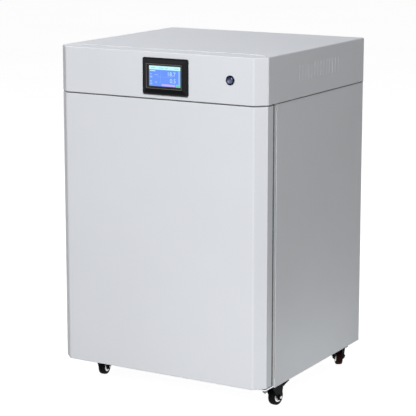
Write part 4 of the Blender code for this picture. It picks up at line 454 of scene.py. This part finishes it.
# The CAD's nodes that wear each look
DRESS = {
    "paint": ("base_frame", "outer_case", "rear_panel", "fascia_panel", "top_cover",
              "rear_control_cover", "door_skin", "front_frame"),
    "liner_steel": ("chamber_liner",),
    "shelf_steel": ("shelf_lower", "shelf_middle", "shelf_upper", "water_tray"),
    "duct_steel": ("air_duct_panel", "temperature_probe", "glass_hinge_lower",
                   "glass_hinge_upper"),
    "zinc": ("fan_motor", "carbon_dioxide_sensor", "oxygen_sensor", "power_supply"),
    "bracket": ("hinge_bracket_lower", "hinge_bracket_upper"),
    "brass": ("gas_inlets",),
    "black_paint": tuple("caster_plate_" + code for code in CASTER_YAWS)
                   + tuple("caster_fork_" + code for code in CASTER_YAWS)
                   + ("brake_pedal_fl", "brake_pedal_fr"),
    "black_plastic": ("door_pull", "hmi_housing", "valve_manifold", "power_inlet", "fan_rotor",
                      "glass_latch"),
    "bezel": ("hmi_bezel",),
    "liner_plastic": ("door_liner",),
    "gasket": ("door_gasket",),
    "bush": ("door_bush_lower", "door_bush_upper"),
    "silicone": ("access_port_sleeve", "access_port_plug", "glass_seal"),
    "foam": ("insulation", "door_core"),
    "filter": ("inlet_filter",),
    "glass": ("glass_door",),
    "screen": ("hmi_screen",),
    "ring": ("power_switch",),
    "board": ("controller_board",),
}


def dress(item, look):
    """Puts the look in every material slot of the object."""
    if not item.data.materials:
        item.data.materials.append(look.material)
    for place in item.material_slots:
        place.material = look.material
    return item


def placed(name, data):
    """A new object in the scene."""
    item = bpy.data.objects.new(name, data)
    bpy.context.scene.collection.objects.link(item)
    return item


def from_bmesh(name, shape, smooth_to=35.0):
    """A smooth object from the shape, with sharp edges above an angle in degrees."""
    bmesh.ops.recalc_face_normals(shape, faces=shape.faces)
    mesh = bpy.data.meshes.new(name)
    shape.to_mesh(mesh)
    shape.free()
    mesh.shade_smooth()
    mesh.set_sharp_from_angle(angle=math.radians(smooth_to))
    return placed(name, mesh)


def band(shape, near, far):
    """Four-sided faces between two closed loops of as many points."""
    for step in range(len(near)):
        ahead = (step + 1) % len(near)
        shape.faces.new((near[step], near[ahead], far[ahead], far[step]))


def turned(shape, profile, segments, place):
    """Adds a closed body: (radius, height) points turned about the Z of the place matrix."""
    rings = []
    for radius, height in profile:
        if radius < 1e-7:
            rings.append([shape.verts.new(place @ Vector((0.0, 0.0, height)))])
            continue
        ring = []
        for step in range(segments):
            angle = 2 * math.pi * step / segments
            point = Vector((radius * math.cos(angle), radius * math.sin(angle), height))
            ring.append(shape.verts.new(place @ point))
        rings.append(ring)
    closed = len(rings[0]) > 1
    pairs = list(zip(rings, rings[1:])) + ([(rings[-1], rings[0])] if closed else [])
    for near, far in pairs:
        for step in range(segments):
            ahead = (step + 1) % segments
            corners = [near[step % len(near)], near[ahead % len(near)], far[ahead % len(far)],
                       far[step % len(far)]]
            unique = list(dict.fromkeys(corners))
            if len(unique) > 2:
                shape.faces.new(unique)


def along(direction, place):
    """The matrix that puts local Z on the direction, at the place."""
    turn = Vector(direction).to_track_quat("Z", "X").to_matrix().to_4x4()
    return Matrix.Translation(place) @ turn


def finish_piece(item, look, body):
    """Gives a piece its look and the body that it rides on."""
    dress(item, LOOKS[look])
    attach(item, body)
    return item


def mirrored(side):
    """One side of a wheel's profile and its mirror image, as a closed outline."""
    return side + [(radius, -height) for radius, height in reversed(side)]


def wheel(code):
    """Tyre with rounded shoulders and two grooves, plated hub ring, and the nuts of the axle."""
    low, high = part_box("caster_wheel_" + code)
    centre, radius = (low + high) / 2, (high.z - low.z) / 2
    yaw = math.radians(CASTER_YAWS[code])
    axle = (math.cos(yaw), math.sin(yaw), 0.0)
    side = [(HUB_RADIUS + out, WHEEL_HALF - step) for out, step in TYRE_LIP]
    side += [(radius - down, WHEEL_HALF - step) for down, step in TYRE_SHOULDER]
    side += [(radius - down, height) for down, height in GROOVE]
    shape = bmesh.new()
    turned(shape, mirrored(side), 64, along(axle, centre))
    look = "rear_tyre" if code.startswith("r") else "tyre"
    tyre = finish_piece(from_bmesh("caster_tyre_" + code, shape), look, "wheel_" + code)
    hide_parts("caster_wheel_" + code)
    face = [(reach, WHEEL_HALF - step) for reach, step in HUB_FACE]
    face.append((HUB_RADIUS - HAIR, WHEEL_HALF - HUB_RIM_STEP))
    shape = bmesh.new()
    turned(shape, mirrored(face), 48, along(axle, centre))
    finish_piece(from_bmesh("caster_hub_" + code, shape), "hub", "wheel_" + code)
    nuts(code, centre, axle)


def nuts(code, centre, axle):
    """Domed nuts on the ends of the axle bolt."""
    dome = [(radius, FORK_OUTER + step) for radius, step in NUT_DOME]
    shape = bmesh.new()
    for side in (-1, 1):
        turned(shape, dome, 24, along(Vector(axle) * side, centre))
    finish_piece(from_bmesh("axle_nuts_" + code, shape, 30.0), "chrome", "fork_" + code)


def plate_bolts(code):
    """Hexagon bolt heads with turned corners, under the four corners of a caster plate."""
    low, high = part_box("caster_plate_" + code)
    centre = (low + high) / 2
    head = [(0.0, 0.0), (BOLT_RADIUS, 0.0), (BOLT_RADIUS, BOLT_HEIGHT - BOLT_CHAMFER),
            (BOLT_RADIUS - BOLT_CHAMFER * 1.6, BOLT_HEIGHT), (0.0, BOLT_HEIGHT)]
    shape = bmesh.new()
    for x in (-BOLT_SPREAD, BOLT_SPREAD):
        for y in (-BOLT_SPREAD, BOLT_SPREAD):
            spot = (centre.x + x, centre.y + y, high.z - PLATE_SHEET)
            turned(shape, head, 6, along((0, 0, -1), spot))
    finish_piece(from_bmesh("plate_bolts_" + code, shape, 30.0), "zinc", "cabinet")


def screw_head(shape, radius, place):
    """A pan head with a cross recess, its underside at the place."""
    rings, segments = 9, 40
    depth, arm, reach = radius * 0.30, radius * 0.17, radius * 0.62
    slope = arm * 0.4
    crown = radius * 0.527
    roundness = 0.94
    angles = [2 * math.pi * step / segments for step in range(segments)]
    ways = [(radius * math.cos(angle), radius * math.sin(angle)) for angle in angles]
    base = [shape.verts.new(place @ Vector((x, y, 0.0))) for x, y in ways]
    loops = [base]
    for ring in range(rings):
        share = 1.0 - ring / rings
        loop = []
        for across, up in ways:
            x, y = across * share, up * share
            height = crown * math.sqrt(1.0 - (share * roundness) ** 2)
            near = min(abs(x), abs(y))
            if near < arm and radius * share < reach:
                height -= depth * min(1.0, (arm - near) / slope)
            loop.append(shape.verts.new(place @ Vector((x, y, height))))
        loops.append(loop)
    middle = shape.verts.new(place @ Vector((0.0, 0.0, crown - depth)))
    for near, far in zip(loops, loops[1:]):
        band(shape, near, far)
    for step in range(segments):
        shape.faces.new((loops[-1][step], loops[-1][(step + 1) % segments], middle))
    shape.faces.new(base[::-1])


def rear_screws():
    """Pan heads along the edges of the rear panel and of the control section's rear cover."""
    spots = []
    for x in (-SCREW_SIDE, SCREW_SIDE):
        spots += [(x, PANEL_SCREW_LOW + PANEL_SCREW_STEP * step)
                  for step in range(PANEL_SCREW_COUNT)]
        spots += [(x, z) for z in COVER_SCREW_HEIGHTS]
    spots += [(x, z) for x in PANEL_ROW for z in PANEL_ROW_HEIGHTS]
    spots += [(x, COVER_ROW_HEIGHT) for x in COVER_ROW]
    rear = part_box("rear_panel")[1].y
    shape = bmesh.new()
    for x, z in spots:
        screw_head(shape, SCREW_RADIUS, along((0, 1, 0), (x, rear, z)))
    finish_piece(from_bmesh("rear_panel_screws", shape, 40.0), "zinc", "cabinet")


def edge_ring(shape, outer, inner, front, back):
    """A closed frame of four strips in X and Z: outer and inner are (half width, low, high)."""
    rings = []
    for (half, low, high), depth in ((outer, back), (outer, front), (inner, front), (inner, back)):
        rings.append([shape.verts.new((x, depth, z)) for x, z in
                      ((-half, low), (half, low), (half, high), (-half, high))])
    for near, far in zip(rings, rings[1:] + rings[:1]):
        band(shape, near, far)


def frame_trim():
    """Dark strip on the front edge of the frame, behind the rim of the door: painted shade for the
    gap there.
    """
    low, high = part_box("front_frame")
    shape = bmesh.new()
    outer = (high.x + GAP_SHADE_PROUD, low.z - HAIR, high.z + HAIR)
    inner = (high.x - GAP_SHADE_WIDTH, low.z + GAP_SHADE_WIDTH, high.z - GAP_SHADE_WIDTH)
    edge_ring(shape, outer, inner, low.y - GAP_SHADE_FRONT, low.y + GAP_SHADE_DEPTH)
    finish_piece(from_bmesh("frame_edge_trim", shape), "trim", "cabinet")


def display_ridge():
    """Thin brown-grey line on the ridge round the screen."""
    low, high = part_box("hmi_screen")
    centre = (low + high) / 2
    wide, tall = RIDGE_OUTER
    inner = (wide - RIDGE_WIDTH, RIDGE_WIDTH - tall, tall - RIDGE_WIDTH)
    shape = bmesh.new()
    edge_ring(shape, (wide, -tall, tall), inner, RIDGE_FACE - RIDGE_PROUD, RIDGE_FACE + HAIR)
    bmesh.ops.translate(shape, vec=(centre.x, 0.0, centre.z), verts=shape.verts)
    finish_piece(from_bmesh("display_ridge", shape), "ridge", "cabinet")


def seam_seals():
    """Dark strips along the seams, painted shade: on the case under the cover, and under the
    fascia.
    """
    low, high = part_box("outer_case")
    fascia_low, fascia_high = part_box("fascia_panel")
    top = fascia_low.z - HAIR
    front, back = low.y + SEAM_SHADE_END, high.y - SEAM_SHADE_END
    shape = bmesh.new()
    for side in (-1, 1):
        near, far = side * (high.x + HAIR), side * (high.x + HAIR + SEAM_SHADE_THICKNESS)
        path = [(near, front), (near, back), (far, back), (far, front)]
        strip(shape, path, top - SEAM_SHADE_HEIGHT, top)
    finish_piece(from_bmesh("seam_seal", shape), "seal", "cabinet")
    outer, inner = [front_path(fascia_high.x - inset, fascia_low.y + inset)
                    for inset in (FASCIA_SHADE_INSET, FASCIA_SHADE_INSET + FASCIA_SHADE_WIDTH)]
    shape = bmesh.new()
    strip(shape, outer + inner[::-1], top - FASCIA_SHADE_HEIGHT, top)
    finish_piece(from_bmesh("fascia_seal", shape), "seal", "cabinet")


def front_path(half, front):
    """Open path in plan round the front with its two cut corners."""
    back, cut = FASCIA_SHADE_BACK, FASCIA_SHADE_CUT
    return [(-half, back), (-half, front + cut), (cut - half, front), (half - cut, front),
            (half, front + cut), (half, back)]


def strip(shape, path, low, high):
    """A closed body with a plan outline, between two heights."""
    foot, head = [[shape.verts.new((x, y, z)) for x, y in path] for z in (low, high)]
    band(shape, foot, head)
    ends = [shape.faces.new(foot[::-1]), shape.faces.new(head)]
    bmesh.ops.triangulate(shape, faces=ends)


def plate(shape, low, high, front, back, number):
    """A thin closed plate facing -Y, from its corners in X and Z, in the numbered material."""
    made = bmesh.ops.create_cube(shape, size=1.0)["verts"]
    (x0, z0), (x1, z1) = low, high
    bmesh.ops.scale(shape, vec=(x1 - x0, back - front, z1 - z0), verts=made)
    bmesh.ops.translate(shape, vec=((x0 + x1) / 2, (front + back) / 2, (z0 + z1) / 2), verts=made)
    for face in {face for vert in made for face in vert.link_faces}:
        face.material_index = number


def lettering(text, height, place, front, back, name):
    """Plain figures as a closed mesh, from Blender's own font."""
    words = bpy.data.curves.new(name, "FONT")
    words.body = text
    words.size = height
    words.extrude = (back - front) / 2
    words.align_x = "RIGHT"
    words.resolution_u = 4
    item = placed(name, words)
    bpy.context.view_layer.update()
    mesh = bpy.data.meshes.new_from_object(
        item.evaluated_get(bpy.context.evaluated_depsgraph_get()))
    bpy.data.objects.remove(item, do_unlink=True)
    bpy.data.curves.remove(words)
    move = Matrix.Translation((place[0], (front + back) / 2, place[1]))
    mesh.transform(move @ Matrix.Rotation(math.pi / 2, 4, "X"))
    return mesh


SCREEN_BLUE, TITLE_BAR, DIGITS, PALE_BLUE, PINK, GREEN, MARK = range(7)
PICTURE_LOOKS = [
    ("picture_blue", srgb(98, 146, 255)),
    ("picture_bar", srgb(196, 252, 255)),
    ("picture_digits", srgb(190, 232, 255)),
    ("picture_pale_blue", srgb(140, 186, 255)),
    ("picture_pink", srgb(214, 176, 240)),
    ("picture_green", srgb(96, 200, 150)),
    ("picture_mark", srgb(120, 214, 222)),
]


def display_picture():
    """What the display shows: a title bar, labels, two readings and the touch keys."""
    low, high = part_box("hmi_screen")
    face = low.y
    (x0, z0), (x1, z1) = PICTURE_LOW, PICTURE_HIGH
    wide, tall = x1 - x0, z1 - z0

    def at(u, v):
        return x0 + wide * u, z1 - tall * v

    shape = bmesh.new()

    def area(u0, v0, u1, v1, number, layer):
        """A plate from shares of the picture's width and height, on a numbered layer."""
        (left, top), (right, foot) = at(u0, v0), at(u1, v1)
        front = face - LAYER * (layer + 1)
        plate(shape, (left, foot), (right, top), front, face + LAYER_SUNK, number)

    # Ground, title bar with its marks, and the scroll bar
    area(0.0, 0.0, 1.0, 1.0, SCREEN_BLUE, 0)
    area(0.0, 0.0, 1.0, 0.185, TITLE_BAR, 1)
    for u0, u1 in ((0.06, 0.20), (0.30, 0.46), (0.52, 0.60), (0.80, 0.95)):
        area(u0, 0.085, u1, 0.115, MARK, 2)
    area(0.935, 0.20, 1.0, 0.86, PALE_BLUE, 1)

    # Labels at the left, as plain bars
    area(0.02, 0.225, 0.20, 0.275, DIGITS, 1)
    for v0, v1, u1 in ((0.38, 0.43, 0.09), (0.50, 0.60, 0.10), (0.72, 0.80, 0.09),
                       (0.84, 0.93, 0.10)):
        area(0.02, v0, u1, v1, PALE_BLUE, 1)
    area(0.17, 0.42, 0.28, 0.46, PALE_BLUE, 1)
    area(0.19, 0.77, 0.25, 0.84, PALE_BLUE, 1)

    # Dashed lines between the readings
    for step in range(12):
        v0 = 0.21 + step * 0.055
        area(0.366, v0, 0.374, v0 + 0.032, PALE_BLUE, 1)
    for step in range(14):
        u0 = 0.26 + step * 0.036
        area(u0, 0.528, u0 + 0.024, 0.540, PALE_BLUE, 1)

    # Touch keys at the foot
    area(0.40, 0.885, 0.83, 0.975, PINK, 1)
    for u0 in (0.44, 0.54, 0.64, 0.74):
        area(u0, 0.91, u0 + 0.05, 0.95, PALE_BLUE, 2)
    area(0.86, 0.87, 1.0, 1.0, MARK, 1)
    area(0.875, 0.90, 0.985, 0.97, GREEN, 2)

    front, back = face - FIGURE_FRONT, face - FIGURE_BACK
    for number, (text, u, v) in enumerate((("18.7", 0.85, 0.47), ("0.5", 0.86, 0.80))):
        mesh = lettering(text, FIGURE_SIZE, at(u, v), front, back, "figures_%d" % number)
        start = len(shape.faces)
        shape.from_mesh(mesh)
        shape.faces.ensure_lookup_table()
        for face_made in shape.faces[start:]:
            face_made.material_index = DIGITS
        bpy.data.meshes.remove(mesh)
    bmesh.ops.remove_doubles(shape, verts=shape.verts, dist=0.0000005)
    item = from_bmesh("display_picture", shape, 20.0)
    for name, colour in PICTURE_LOOKS:
        item.data.materials.append(lit(name, colour).material)
    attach(item, "cabinet")


def button_look():
    """Dark blue lens with painted light: paler in the middle and darker at the rim as a painted
    reflection, and a painted glow spot low on the left that shines by itself.
    """
    look = Look("button_lens_painted_light", 0.10)
    low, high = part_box("power_button")
    middle = (low + high) / 2

    # A round mask for the painted light on the lens
    def glow(offset, radius):
        """1 at a place on the lens, falling to 0 at the radius round it."""
        place = middle + Vector(offset)
        gap = look.add("ShaderNodeVectorMath", operation="DISTANCE")
        look.link(look.spot, gap.inputs[0])
        gap.inputs[1].default_value = (place.x, low.y, place.z)
        return look.span(gap.outputs["Value"], 1.0, 0.0, 0.0, radius)

    # Painted reflection: the lens is pale in the middle and dark towards the rim
    painted_pale_middle = glow(PAINTED_MIDDLE_OFFSET, PAINTED_MIDDLE_RADIUS)
    tone = look.blend(painted_pale_middle, (0.006, 0.010, 0.060, 1.0), (0.060, 0.090, 0.125, 1.0))
    speck = look.span(look.noise(0.0012, 2.0), 0.0, 0.12)
    look.colour(look.blend(speck, tone, (0.02, 0.03, 0.12, 1.0)))
    look.set("Coat Weight", 1.0)
    look.set("Coat Roughness", 0.04)
    look.roughness(look.span(look.noise(0.002, 2.0), 0.08, 0.16))
    # Painted glow: a spot low on the left that shines by itself, a painted highlight in the lens
    # with no lamp behind it
    lamp = glow(PAINTED_GLOW_OFFSET, PAINTED_GLOW_RADIUS)
    look.link(look.blend(lamp, BLACK, (0.20, 0.25, 0.62, 1.0)),
              look.shader.inputs["Emission Color"])
    look.set("Emission Strength", 1.0)
    look.bump((look.noise(0.003, 1.0), 0.00001))
    return look


def button_cap():
    """Domed lens of the power button, in place of the plain one."""
    low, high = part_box("power_button")
    middle = (low + high) / 2
    radius = (high.x - low.x) / 2
    deep = high.y - low.y
    steps, fullness = 9, 0.8
    profile = [(0.0, 0.0), (radius, 0.0)]
    for step in range(steps):
        angle = math.pi / 2 * step / steps
        profile.append((radius * math.cos(angle) ** fullness,
                        deep - BUTTON_DOME + BUTTON_DOME * math.sin(angle)))
    profile.append((0.0, deep))
    shape = bmesh.new()
    turned(shape, profile, 48, along((0, -1, 0), (middle.x, high.y, middle.z)))
    item = from_bmesh("button_cap", shape, 50.0)
    dress(item, button_look())
    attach(item, "button")
    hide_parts("power_button")


def stage_material(name, colour, glow, variation=0.01):
    """A dull surface that also shines by itself, for the floor and the dome."""
    look = Look(name, 0.9)
    cloud = look.span(look.noise(1.5, 2.0), 1.0 - variation, 1.0 + variation)
    look.colour(look.blend(cloud, BLACK, colour))
    look.link(look.blend(cloud, BLACK, glow), look.shader.inputs["Emission Color"])
    look.set("Emission Strength", 1.0)
    look.set("Specular IOR Level", 0.0)
    return look


def backdrop():
    """A pale floor that shows in reflections but lights nothing, and a dome that is only seen."""
    shape = bmesh.new()
    bmesh.ops.create_circle(shape, cap_ends=True, radius=FLOOR_REACH, segments=96)
    floor = from_bmesh("studio_floor", shape)
    dress(floor, stage_material("pale_floor", (0.30, 0.30, 0.30, 1.0), (0.94, 0.94, 0.94, 1.0)))
    floor.visible_diffuse = False
    shape = bmesh.new()
    bmesh.ops.create_uvsphere(shape, u_segments=64, v_segments=32, radius=FLOOR_REACH)
    dome = from_bmesh("studio_dome", shape)
    dress(dome, stage_material("pale_dome", BLACK, (1.0, 1.0, 1.0, 1.0), 0.0))
    for kind in ("diffuse", "glossy", "shadow", "volume_scatter"):
        setattr(dome, "visible_" + kind, False)


def area_light(name, aim, direction, distance, wide, tall, power, colour):
    """A lamp that faces its aim from a distance along the direction, and isn't seen itself."""
    lamp = bpy.data.lights.new(name, "AREA")
    lamp.shape = "RECTANGLE"
    lamp.size, lamp.size_y = wide, tall
    lamp.energy = power
    lamp.color = colour
    item = placed(name, lamp)
    way = Vector(direction).normalized()
    item.location = Vector(aim) + way * distance
    item.rotation_euler = way.to_track_quat("Z", "Y").to_euler()
    item.visible_camera = False


def lighting():
    """An even dim world and the area lights."""
    world = bpy.data.worlds.new("studio")
    bpy.context.scene.world = world
    world.use_nodes = True
    background = world.node_tree.nodes["Background"]
    background.inputs["Color"].default_value = (1.0, 1.0, 1.0, 1.0)
    background.inputs["Strength"].default_value = WORLD_STRENGTH
    for light in LIGHTS:
        area_light(*light)


def camera():
    """The camera, placed as the photograph's."""
    lens = bpy.data.cameras.new("camera")
    lens.lens = CAMERA_LENS
    lens.sensor_width = CAMERA_SENSOR
    lens.shift_x, lens.shift_y = CAMERA_SHIFT
    lens.clip_end = CAMERA_REACH
    item = placed("camera", lens)
    item.location = CAMERA_PLACE
    item.rotation_euler = [math.radians(value) for value in CAMERA_TURN]
    bpy.context.scene.camera = item


for look_name, node_names in DRESS.items():
    for node_name in node_names:
        dress(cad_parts[node_name], LOOKS[look_name])
display_picture()
display_ridge()
button_cap()
for caster in CASTER_YAWS:
    wheel(caster)
    plate_bolts(caster)
rear_screws()
frame_trim()
seam_seals()
backdrop()
lighting()
camera()
bpy.context.scene.view_settings.view_transform = "Standard"
